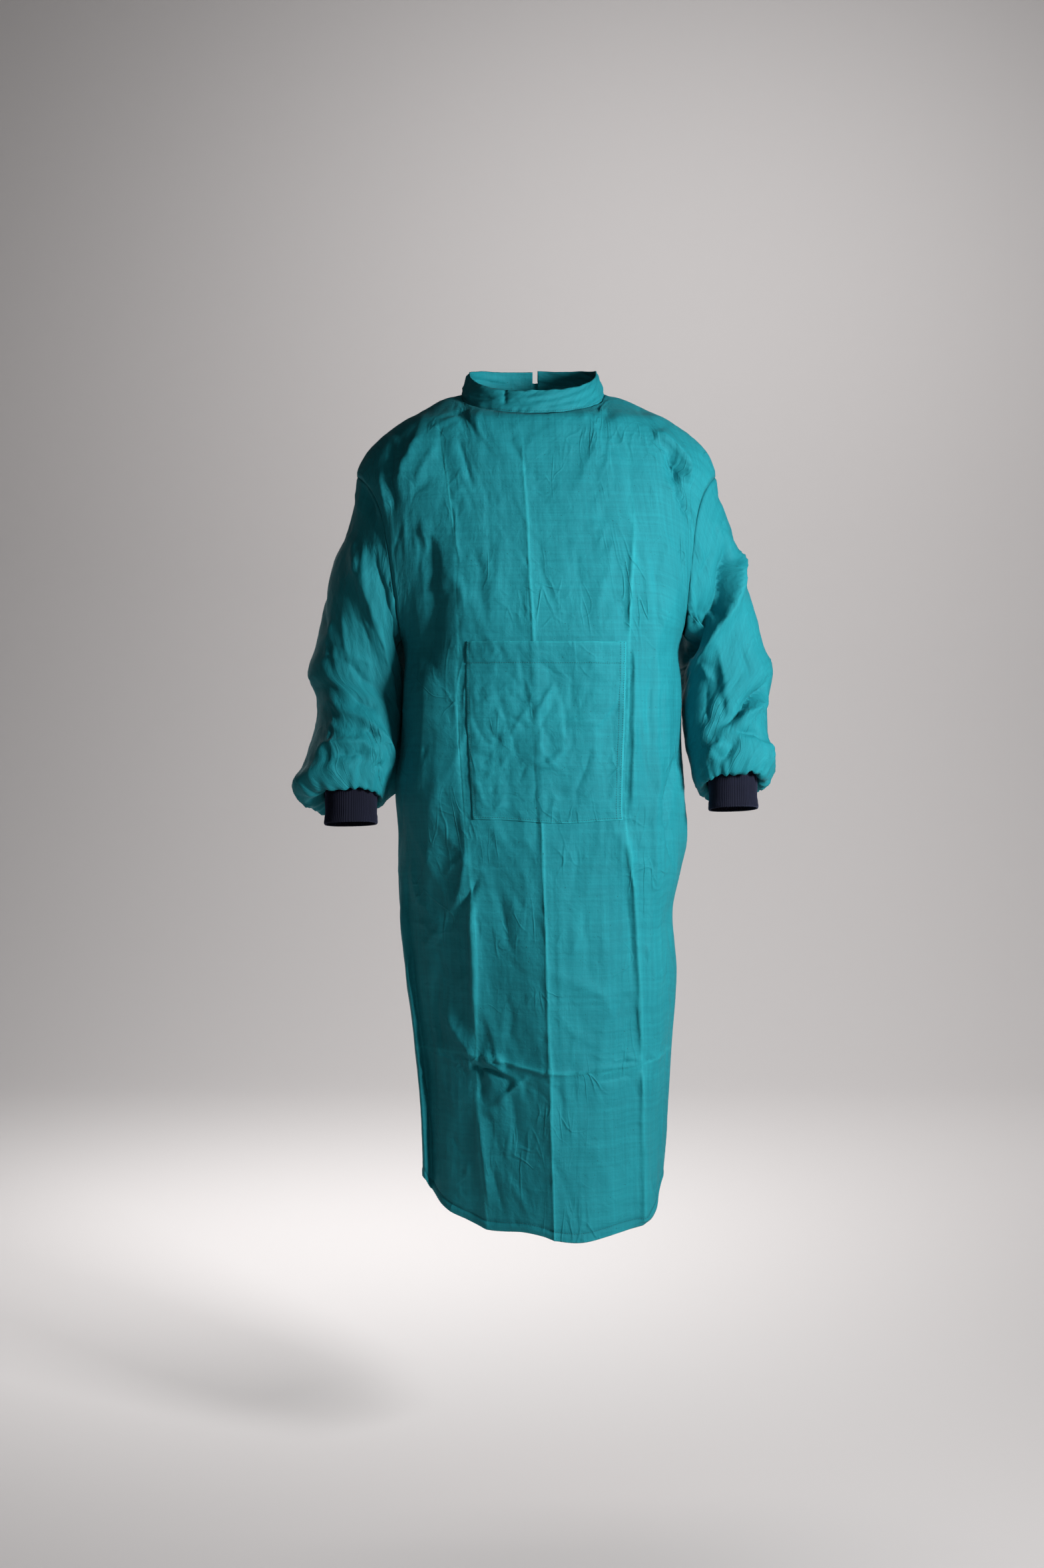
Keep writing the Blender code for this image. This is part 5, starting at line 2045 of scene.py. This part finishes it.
@dataclass
class Pocket:
    """The wide patch pocket, laid on the front."""

    right_inset: float = 0.6  # in stations of the front, from its creases
    left_inset: float = 0.2
    top_z: float = -0.357
    bottom_z: float = -0.615
    lift: float = 0.0015
    spacing: float = 0.0027
    width: float = 0.235
    height: float = 0.262
    hem: float = 0.031
    hem_rise: float = 0.0007
    hem_sink: float = 0.0011
    edge_sink: float = 0.0010
    belly: float = 0.0016
    gape: float = 0.0030  # how far the upper edge stands off
    second_row: float = 0.009  # of stitches, from the edge on the wearer's left
    pucker: float = 0.0004
    creasing: Scatter = Scatter(90, 0.0013, (0.02, 0.07), (0.0025, 0.007), 60, 103)
    fold_gain: float = 1.5
    fold_narrow: float = 0.8
    folds: tuple[Fold, ...] = (
        Fold(((-20, -401), (-10, -425), (-2, -450)), 1.2, 5, 5),
        Fold(((-6, -444), (-24, -472), (-43, -501)), 1.5, 4, 7),
        Fold(((-41, -462), (-26, -472), (-11, -482)), -1.2, 4, 4),
        Fold(((-74, -473), (-60, -491), (-47, -509)), -1.5, 5, 5),
        Fold(((-2, -450), (7, -496), (1, -543)), 1.2, 5, 6),
        Fold(((-33, -505), (-50, -534), (-81, -558)), 1.2, 6, 6),
        Fold(((14, -524), (52, -534), (105, -529)), 0.8, 5, 5),
        Fold(((-100, -377), (-92, -429), (-88, -486)), -1.0, 8, 8),
    )

    def build(self, front: FrontPanel) -> Grid:
        """Lay the pocket on the front.

        Args:
            front: The finished front.

        Returns:
            The pocket's grid.
        """
        start = front.flank_steps + self.right_inset
        stop = 2 * front.half - front.flank_steps - self.left_inset
        middle = front.grid.points[len(front.index) // 2, :, 2]
        rows = np.arange(len(middle))
        top, bottom = np.interp([-self.top_z, -self.bottom_z], -middle, rows)
        across = np.linspace(start, stop, int(self.width / (self.spacing * FINENESS)))
        down = np.linspace(top, bottom, int(self.height / (self.spacing * FINENESS)))
        column = np.interp(across, front.index, np.arange(len(front.index)))
        normals = front.grid.normals()
        points, out = sample(front.grid.points, column, down), sample(normals, column, down)
        grid = Grid(points, points + [0, 1, 0])
        u, v = grid.lengths()
        from_sides = np.minimum(u, u[-1:] - u)
        edge = np.minimum(from_sides, v[:, -1:] - v)
        belly = self.belly * smooth_step(edge / 0.05)
        belly += self.gape * np.exp(-v / 0.030) * smooth_step(from_sides / 0.07)
        grid.points = points + out * (self.lift + belly)[..., None]
        grid.fold(self.folds, Face.FRONT, self.fold_gain, self.fold_narrow)
        grid.crumple(amount=0.0010, size=0.034, stretch=1.2, seed=101)
        grid.scatter(self.creasing)
        height = self.hem_rise * smooth_step((self.hem - v) / EDGE_RAMP)
        height -= self.hem_sink * bell(v - self.hem, 0.0016)
        height -= self.edge_sink * bell(edge - STITCH_ROW, 0.0014)
        height += self.pucker * lattice_noise(u / 0.008, v / 0.008, 102) * np.exp(-edge / 0.006)
        grid.raise_by(height)
        # painted highlight along the pocket's rolled edges
        grid.press = 0.9 * np.exp(-np.minimum(edge, v) / 0.0016)
        self.grid = grid
        return grid


def sample(values: np.ndarray, columns: np.ndarray, rows: np.ndarray) -> np.ndarray:
    """Read a grid between its points.

    Args:
        values: Columns by rows by anything.
        columns: Fractional columns.
        rows: Fractional rows.

    Returns:
        The values at every pair of a column and a row.
    """
    i = np.clip(np.floor(columns).astype(int), 0, values.shape[0] - 2)
    j = np.clip(np.floor(rows).astype(int), 0, values.shape[1] - 2)
    s, t = (columns - i)[:, None, None], (rows - j)[None, :, None]
    a, b = values[np.ix_(i, j)], values[np.ix_(i + 1, j)]
    c, d = values[np.ix_(i, j + 1)], values[np.ix_(i + 1, j + 1)]
    return (a * (1 - s) + b * s) * (1 - t) + (c * (1 - s) + d * s) * t


def ribbon(path: np.ndarray, across: np.ndarray, width: float, columns: int = 5) -> Grid:
    """A strip of tape along a path.

    Args:
        path: Its middle line.
        across: The direction of its width at each point.
        width: Its width in metres.
        columns: Faces across it.

    Returns:
        The strip's grid.
    """
    fine = spline(path, 10)
    way = spline(across, 10)
    way /= np.linalg.norm(way, axis=1, keepdims=True)
    offset = np.linspace(-width / 2, width / 2, columns + 1)
    points = fine[None] + way[None] * offset[:, None, None]
    return Grid(points, points - [0, 1, 0])


@dataclass
class Tie:
    """Two tapes that meet in a knot, with a tail each."""

    name: str
    place: Matrix
    inner: float  # lengths of the sewn ends and of the tails
    outer: float
    tail: float
    start: float  # how far back the tails start, and how much farther back they end
    lean: float
    width: float = 0.012
    spread: float = 0.024
    knot: Triple = (0.020, 0.009, 0.015)
    wall: float = 0.0012
    layer: float = 0.0016  # how far the sewn ends stand off the cloth
    waviness: float = 0.0006

    def strip(self, name: str, points: Sequence[Sequence[float]], turns: Sequence[float]) -> bpy.types.Object:
        """One strip of tape.

        Args:
            name: The piece's name.
            points: Its middle line, in the tie's own frame.
            turns: How far its width leans from the vertical at each point, in degrees.

        Returns:
            The mesh object.
        """
        path = np.array([self.place @ Vector(p) for p in points])
        turn = self.place.to_3x3()
        ways = [turn @ Vector((math.sin(math.radians(a)), 0, math.cos(math.radians(a)))) for a in turns]
        grid = ribbon(path, np.array(ways), self.width)
        u, v = grid.lengths()
        grid.raise_by(self.waviness * lattice_noise(v / 0.02, u / 0.01, len(name)))
        made = grid.to_object(name, self.wall)
        return made

    def build(self) -> list[bpy.types.Object]:
        """Make the knot, the two sewn ends and the two tails.

        Returns:
            The pieces, the knot first.
        """
        y = self.layer
        ends = []
        for label, sign, reach in (("inner", 1, self.inner), ("outer", -1, self.outer)):
            line = [(0, y + 0.002, 0), (sign * reach * 0.4, y, 0.0006), (sign * reach, y - 0.0002, 0)]
            ends.append(self.strip(f"{self.name}_{label}_end", line, (0, 0, 0)))
        tails = []
        low = -self.knot[2] / 4
        for label, sign in (("inner", 1), ("outer", -1)):
            x, y = sign * self.spread, self.start
            line = [
                (0, y, low),
                (x * 0.22, y + self.lean * 0.30, low - self.tail * 0.30),
                (x * 0.66, y + self.lean * 0.66, low - self.tail * 0.66),
                (x, y + self.lean, low - self.tail),
            ]
            lean = math.degrees(math.atan2(self.spread, self.tail)) * sign
            turns = (90 - lean, 90 - lean * 0.7, 90, 90 - lean)
            tails.append(self.strip(f"{self.name}_{label}_tail", line, turns))
        return [self.make_knot(), *ends, *tails]

    def make_knot(self) -> bpy.types.Object:
        """The knot: a tight lump with the band that crosses it.

        Returns:
            The mesh object.
        """
        wide, deep, high = (s / 2 for s in self.knot)
        around = np.linspace(0, 2 * math.pi, 40, endpoint=False)
        rings = []
        for k in np.linspace(-1, 1, 25):
            swell = math.sqrt(max(1 - abs(k) ** 2.6, 0.004))
            pinch = 1 - 0.16 * math.exp(-((k / 0.28) ** 2)) + 0.05 * math.cos(9 * k)
            y = deep * swell * pinch * np.sin(around)
            z = high * swell * (pinch + 0.05 * np.sin(3 * around + 4 * k)) * np.cos(around)
            x = np.full(len(around), wide * k) + 0.0012 * np.cos(around)
            rings.append(np.stack([x, y + deep, z], -1))
        local = np.array(rings)
        moved = local @ np.array(self.place.to_3x3()).T + np.array(self.place.translation)
        grid = Grid(moved, moved.mean(1, keepdims=True), closed=True)
        return grid.to_object(f"{self.name}_knot", self.wall)


# ---- The whole gown and its studio ----

RIGHT_SLEEVE = (
    Ring(-0.2630, -0.112, -0.1970, -0.350, 0.000, 0.085, 0.000),
    Ring(-0.2680, -0.150, -0.2095, -0.374, 0.008, 0.083, 0.005),
    Ring(-0.2780, -0.190, -0.2070, -0.392, 0.018, 0.081, 0.008),
    Ring(-0.2985, -0.235, -0.2020, -0.405, 0.026, 0.080, 0.010),
    Ring(-0.3120, -0.280, -0.2010, -0.417, 0.032, 0.079, 0.010),
    Ring(-0.3200, -0.322, -0.2005, -0.428, 0.036, 0.079, 0.012),
    Ring(-0.3295, -0.362, -0.2005, -0.440, 0.036, 0.079, 0.014),
    Ring(-0.3430, -0.408, -0.2010, -0.456, 0.032, 0.078, 0.016),
    Ring(-0.3305, -0.433, -0.2005, -0.470, 0.024, 0.076, 0.018),
    Ring(-0.3250, -0.460, -0.2025, -0.485, 0.014, 0.074, 0.020),
    Ring(-0.3285, -0.488, -0.2040, -0.500, 0.002, 0.073, 0.022),
    Ring(-0.3360, -0.515, -0.2065, -0.518, -0.012, 0.071, 0.024),
    Ring(-0.3470, -0.547, -0.2105, -0.542, -0.026, 0.068, 0.026),
    Ring(-0.3585, -0.571, -0.2180, -0.565, -0.037, 0.062, 0.026),
    Ring(-0.3370, -0.594, -0.2240, -0.588, -0.043, 0.050, 0.022),
    Ring(-0.3100, -0.582, -0.2310, -0.580, -0.045, 0.037, 0.020),
)
LEFT_SLEEVE = (
    Ring(0.2650, -0.112, 0.2130, -0.350, 0.000, 0.085, 0.000),
    Ring(0.2735, -0.150, 0.2270, -0.374, 0.008, 0.083, 0.005),
    Ring(0.2915, -0.190, 0.2255, -0.392, 0.016, 0.081, 0.008),
    Ring(0.3055, -0.235, 0.2230, -0.405, 0.022, 0.080, 0.010),
    Ring(0.3160, -0.280, 0.2235, -0.417, 0.026, 0.079, 0.010),
    Ring(0.3295, -0.320, 0.2230, -0.428, 0.028, 0.079, 0.012),
    Ring(0.3405, -0.360, 0.2205, -0.440, 0.028, 0.079, 0.014),
    Ring(0.3530, -0.398, 0.2192, -0.452, 0.024, 0.078, 0.016),
    Ring(0.3490, -0.430, 0.2192, -0.464, 0.016, 0.076, 0.018),
    Ring(0.3425, -0.456, 0.2200, -0.478, 0.007, 0.074, 0.020),
    Ring(0.3445, -0.480, 0.2220, -0.494, -0.004, 0.072, 0.022),
    Ring(0.3460, -0.504, 0.2240, -0.512, -0.016, 0.070, 0.024),
    Ring(0.3530, -0.532, 0.2280, -0.534, -0.027, 0.066, 0.026),
    Ring(0.3490, -0.551, 0.2330, -0.554, -0.036, 0.060, 0.026),
    Ring(0.3370, -0.566, 0.2420, -0.572, -0.043, 0.050, 0.022),
    Ring(0.3260, -0.558, 0.2525, -0.560, -0.045, 0.036, 0.020),
)
RIGHT_SLEEVE_FOLDS = (
    Fold(((-266, -195), (-262, -240), (-248, -285), (-236, -322), (-226, -360)), 9, 12, 34),
    Fold(((-238, -300), (-228, -340), (-219, -385), (-212, -420), (-205, -465)), 5, 12, 8),
    Fold(((-314, -368), (-301, -374), (-288, -381)), 2, 5, 5),
    Fold(((-278, -376), (-256, -383), (-234, -388)), 2.5, 6, 6),
    Fold(((-283, -376), (-268, -395), (-253, -410), (-225, -433)), -4, 7, 7),
    Fold(((-272, -435), (-250, -447), (-229, -459)), -4, 6, 7),
    Fold(((-321, -430), (-297, -449), (-257, -468), (-219, -500), (-212, -530), (-221, -571)), 8, 9, 12),
    Fold(((-248, -482), (-240, -488), (-231, -497)), -5, 6, 6),
    Fold(((-304, -471), (-295, -480), (-266, -496)), 3, 6, 6),
    Fold(((-325, -522), (-312, -512), (-299, -505), (-275, -502), (-251, -504), (-218, -525)), 7, 7, 12),
    Fold(((-293, -517), (-274, -519), (-250, -520), (-236, -525)), -5, 5, 6),
    Fold(((-228, -526), (-226, -544)), -5, 6, 6),
    Fold(((-296, -530), (-293, -543), (-290, -556)), 3, 4, 5),
    Fold(((-281, -533), (-264, -538)), 2, 3, 4),
    Fold(((-352, -566), (-345, -584), (-328, -592), (-313, -589)), 4, 7, 7),
    Fold(((-298, -322), (-306, -342), (-304, -361)), 3, 9, 9),
    Fold(((-256, -112), (-241, -159), (-226, -203)), -3, 8, 10),
    Fold(((-240, -200), (-226, -260), (-210, -320), (-202, -380)), -5, 7, 7),
)
SLEEVE_BACK_FOLDS = (
    # as the left sleeve has them; the right one's are turned over
    Fold(((262, -150), (268, -220), (262, -290)), -5, 9, 11),
    Fold(((290, -200), (296, -270), (312, -335)), 4, 9, 9),
    Fold(((345, -385), (318, -372), (286, -368), (252, -380)), -7, 8, 8),
    Fold(((340, -412), (312, -402), (284, -404), (256, -420)), 6, 8, 8),
    Fold(((336, -436), (306, -436), (276, -450)), -6, 7, 8),
    Fold(((248, -300), (268, -336), (300, -356)), 5, 8, 7),
    Fold(((332, -470), (308, -492), (286, -526)), 6, 8, 10),
    Fold(((262, -470), (274, -505), (270, -535)), -5, 7, 7),
    Fold(((318, -500), (322, -525), (312, -548)), -5, 6, 7),
)
LEFT_SLEEVE_FOLDS = (
    Fold(
        ((288, -205), (281, -263), (271, -296), (251, -326), (231, -364), (220, -390)),
        -23, 22, 8, fade=(0.2, 0.15),
    ),
    Fold(
        ((300, -205), (295, -266), (284, -302), (265, -334), (245, -370), (232, -400)),
        14, 5, 20, fade=(0.25, 0.25),
    ),
    Fold(((243, -227), (234, -243), (225, -258)), -6, 6, 6),
    Fold(((261, -219), (251, -241), (240, -263)), -4, 8, 6),
    Fold(((236, -253), (226, -296), (224, -326), (220, -385)), 5, 5, 5),
    Fold(((273, -176), (276, -190), (275, -204)), -3.5, 4, 5),
    Fold(((263, -185), (262, -202)), -2, 4, 4),
    Fold(((229, -354), (229, -371), (228, -386)), 3, 4, 4),
    Fold(((243, -383), (251, -401), (262, -418)), 3, 5, 5),
    Fold(((257, -342), (267, -372), (277, -425), (279, -459), (275, -480)), 7, 7, 18),
    Fold(((262, -300), (270, -345), (268, -395)), -2.5, 9, 7),
    Fold(((300, -350), (306, -385), (318, -415)), -3.0, 10, 7),
    Fold(((250, -410), (250, -449), (249, -483)), -2.5, 5, 5),
    Fold(((274, -432), (273, -454), (270, -473)), -2, 5, 5),
    Fold(((347, -408), (330, -430), (306, -447), (283, -468), (256, -486)), -14, 11, 6),
    Fold(((344, -425), (327, -451), (303, -466), (281, -484)), 8, 6, 9),
    Fold(((273, -495), (258, -512), (247, -528)), 7, 9, 9),
    Fold(((285, -485), (321, -489), (342, -507)), -8, 6, 7),
    Fold(((296, -494), (276, -519), (263, -532)), -7, 6, 6),
    Fold(((335, -496), (343, -517), (336, -538)), 5, 8, 8),
    Fold(((236, -200), (226, -260), (222, -320), (222, -380)), -6, 7, 8),
)


@dataclass
class Gown:
    """All pieces of the gown, dressed."""

    wardrobe: Wardrobe

    def build(self) -> None:
        """Build the pieces in the order in which they are sewn."""
        front, backs = FrontPanel(), {side: BackPanel(side) for side in Side}
        front.build()
        for panel in backs.values():
            panel.build()
        middle = int(np.argmin(np.abs(front.index - front.index[-1] / 2)))
        pieces = {"front": front.grid.to_object("gown_front", CLOTH_WALL, (middle, front.upper_rows))}
        for side, panel in backs.items():
            node, start = f"back_{side.label}", (-1, panel.upper_rows)
            pieces[node] = panel.grid.to_object(f"gown_{node}", CLOTH_WALL, start)
        pocket = Pocket()
        pocket.build(front)
        pieces["pocket"] = pocket.grid.to_object("patch_pocket", CLOTH_WALL)
        reach = {"over": 0.010, "behind": 0.052, "reach_rings": (0.05, 0.6, 12.0, 14.0)}
        right = Sleeve(Side.RIGHT, RIGHT_SLEEVE, RIGHT_SLEEVE_FOLDS, **reach)
        reach = {"over": 0.0, "behind": 0.030, "reach_rings": (0.3, 1.5, 5.0, 7.0)}
        left = Sleeve(Side.LEFT, LEFT_SLEEVE, LEFT_SLEEVE_FOLDS, **reach)
        cuffs = {}
        for sleeve in (right, left):
            label = sleeve.side.label
            sleeve.build(front.grid, backs[sleeve.side].grid, front.upper_rows)
            pieces[f"sleeve_{label}"] = sleeve.grid.to_object(f"sleeve_{label}_cloth", CLOTH_WALL)
            cuff = Cuff(sleeve.side, sleeve.rings[-1])
            cuff.build()
            cuffs[f"cuff_{label}"] = cuff.grid.to_object(f"cuff_{label}_knit", cuff.wall)
        collar = Collar()
        collar.build()
        pieces["collar"] = collar.grid.to_object("stand_collar", collar.wall)
        for node, piece in pieces.items():
            finish = self.wardrobe.double if node in ("collar", "pocket") else self.wardrobe.cotton
            dress(piece, finish, "teal_cotton", node)
        for node, piece in cuffs.items():
            dress(piece, self.wardrobe.knit, "navy_knit", node)
        self.stitch(front, backs, pocket, collar)
        self.tie()

    def stitch(
        self, front: FrontPanel, backs: dict[Side, BackPanel], pocket: Pocket, collar: Collar
    ) -> None:
        """Sew the visible seams.

        Args:
            front: The front.
            backs: The two backs.
            pocket: The pocket.
            collar: The collar.
        """
        rows = Stitching()
        hem = [inset_line(panel.grid, "bottom", HEM_FOLD) for panel in (front, *backs.values())]
        seams = {
            "hem_stitches": hem,
            "collar_stitches": [inset_line(collar.grid, "bottom", collar.stitch_up)],
            "pocket_stitches": [
                inset_line(pocket.grid, "left", STITCH_ROW),
                inset_line(pocket.grid, "right", STITCH_ROW),
                inset_line(pocket.grid, "right", pocket.second_row),
                inset_line(pocket.grid, "bottom", STITCH_ROW),
                inset_line(pocket.grid, "top", pocket.hem),
            ],
        }
        for name, lines in seams.items():
            dress(rows.build(name, lines), self.wardrobe.thread, "teal_cotton")

    def tie(self) -> None:
        """Knot the tapes at the neck and the waist."""
        x, z = -0.085, -0.420
        step = 0.01
        at = FORM.depth_y(np.array([x - step, x, x + step]), np.full(3, z), Face.BACK)
        turn = Matrix.Rotation(math.atan2(at[2] - at[0], 2 * step), 4, "Z")
        seat = Matrix.Translation((x, at[1] + 0.0003, z)) @ turn @ Matrix.Translation((0, 0.0023, 0))
        nape = Matrix.Translation((0, 0.0835, 0.031))
        ties = (
            Tie("neck_tie", nape, inner=0.018, outer=0.018, tail=0.092, start=0.0068, lean=0.0405),
            Tie("waist_tie", seat, inner=0.0385, outer=0.032, tail=0.130, start=0.0032, lean=-0.0012),
        )
        for tie, node in zip(ties, ("tie_neck", "tie_waist"), strict=True):
            for piece in tie.build():
                dress(piece, self.wardrobe.tape, "teal_tape", node)


def inset_line(grid: Grid, edge: str, inset: float) -> tuple[np.ndarray, np.ndarray]:
    """A line on the cloth that follows one of its edges.

    Args:
        grid: The cloth.
        edge: top, bottom, left or right; left is the first column.
        inset: Distance from the edge in metres.

    Returns:
        The line's points and the outward direction at each.
    """
    u, v = grid.lengths()
    points, out = grid.points, grid.normals()
    if edge in ("left", "right"):
        points, out = points.swapaxes(0, 1), out.swapaxes(0, 1)
        length = u.T if edge == "left" else (u[-1:] - u).T
    else:
        length = v if edge == "top" else v[:, -1:] - v
    if edge in ("bottom", "right"):
        points, out, length = points[:, ::-1], out[:, ::-1], length[:, ::-1]
    line, normal = [], []
    for k in range(len(points)):
        line.append([np.interp(inset, length[k], points[k, :, a]) for a in range(3)])
        normal.append([np.interp(inset, length[k], out[k, :, a]) for a in range(3)])
    return np.array(line), np.array(normal)


class Lamp(NamedTuple):
    """A square soft light: where it stands, what it points at, its side in metres and its watts."""

    name: str
    at: Triple
    aim: Triple
    size: float
    power: float


@dataclass
class Studio:
    """A pale sweep, soft lights and the camera."""

    floor_z: float = -1.62
    half_width: float = 9.0
    wall_y: float = 3.2  # where the floor starts to bend up
    bend: float = 2.0  # radius of that bend
    wall_top: float = 8.0
    paint: tuple[float, ...] = (0.60, 0.575, 0.570, 1)
    air: tuple[float, ...] = (0.80, 0.80, 0.82, 1)
    air_strength: float = 0.05
    film: tuple[float, float] = (24.0, 36.0)  # width and height, in millimetres
    lamps: tuple[Lamp, ...] = (
        Lamp("key", (1.34, -1.31, -0.06), (0.0, 0.0, -0.40), 0.40, 52),
        Lamp("fill", (0.1, -3.1, 0.5), (0.0, 0.0, -0.6), 1.6, 4.2),
        Lamp("backdrop", (0.7, 2.3, 1.5), (0.7, 4.1, -0.3), 2.6, 88),
        Lamp("floor", (-0.5, 1.3, -0.1), (-0.7, 1.3, -1.6), 1.5, 29),
    )
    camera_at: Triple = (-0.02, -3.24, -0.42)
    camera_pitch: float = 2.59
    lens: float = 50.0

    def build(self) -> None:
        """Set up the camera, the sweep and the lights."""
        self.add_camera()
        self.add_sweep()
        for lamp in self.lamps:
            self.add_light(lamp)
        bpy.context.scene.view_settings.view_transform = "Standard"
        world = bpy.data.worlds.new("studio")
        bpy.context.scene.world = world
        world.use_nodes = True
        shade = world.node_tree.nodes["Background"]
        set_sockets(shade, {"Color": self.air, "Strength": self.air_strength})

    def add_camera(self) -> None:
        """The camera, level with the gown's middle and tipped down a little."""
        data = bpy.data.cameras.new("camera")
        data.lens = self.lens
        data.sensor_fit = "VERTICAL"
        data.sensor_width, data.sensor_height = self.film
        camera = new_object("camera", data)
        camera.location = self.camera_at
        camera.rotation_euler = (math.radians(90 - self.camera_pitch), 0, 0)
        bpy.context.scene.camera = camera

    def add_sweep(self) -> None:
        """A floor that curves up into a backdrop."""
        wide, start, bend = self.half_width, self.wall_y, self.bend
        turns = np.linspace(0.1, math.pi / 2, 14)
        profile = [(-wide, 0.0), (start, 0.0)]
        profile += [(start + bend * math.sin(a), bend - bend * math.cos(a)) for a in turns]
        profile.append((start + bend, self.wall_top))
        points = [(x, y, self.floor_z + z) for x in (-wide, wide) for y, z in profile]
        count = len(profile)
        mesh = bpy.data.meshes.new("sweep")
        mesh.from_pydata(points, [], [(k, k + count, k + 1 + count, k + 1) for k in range(count - 1)])
        mesh.shade_smooth()
        sweep = new_object("sweep", mesh)
        paint, _, shader = new_material("pale_sweep")
        set_sockets(shader, {"Base Color": self.paint, "Roughness": 0.9, "Specular IOR Level": 0.1})
        mesh.materials.append(paint)

    def add_light(self, lamp: Lamp) -> None:
        """Set up one light, which the camera doesn't see.

        Args:
            lamp: The light.
        """
        data = bpy.data.lights.new(lamp.name, "AREA")
        data.size = lamp.size
        data.energy = lamp.power
        light = new_object(lamp.name, data)
        light.location = lamp.at
        light.visible_camera = False
        way = Vector(lamp.aim) - Vector(lamp.at)
        light.rotation_euler = way.to_track_quat("-Z", "Y").to_euler()


def main() -> None:
    """Build the studio and the gown."""
    logging.basicConfig(level=logging.INFO, format="%(name)s: %(message)s")
    Studio().build()
    Gown(Wardrobe()).build()
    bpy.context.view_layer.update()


if __name__ == "__main__":
    main()
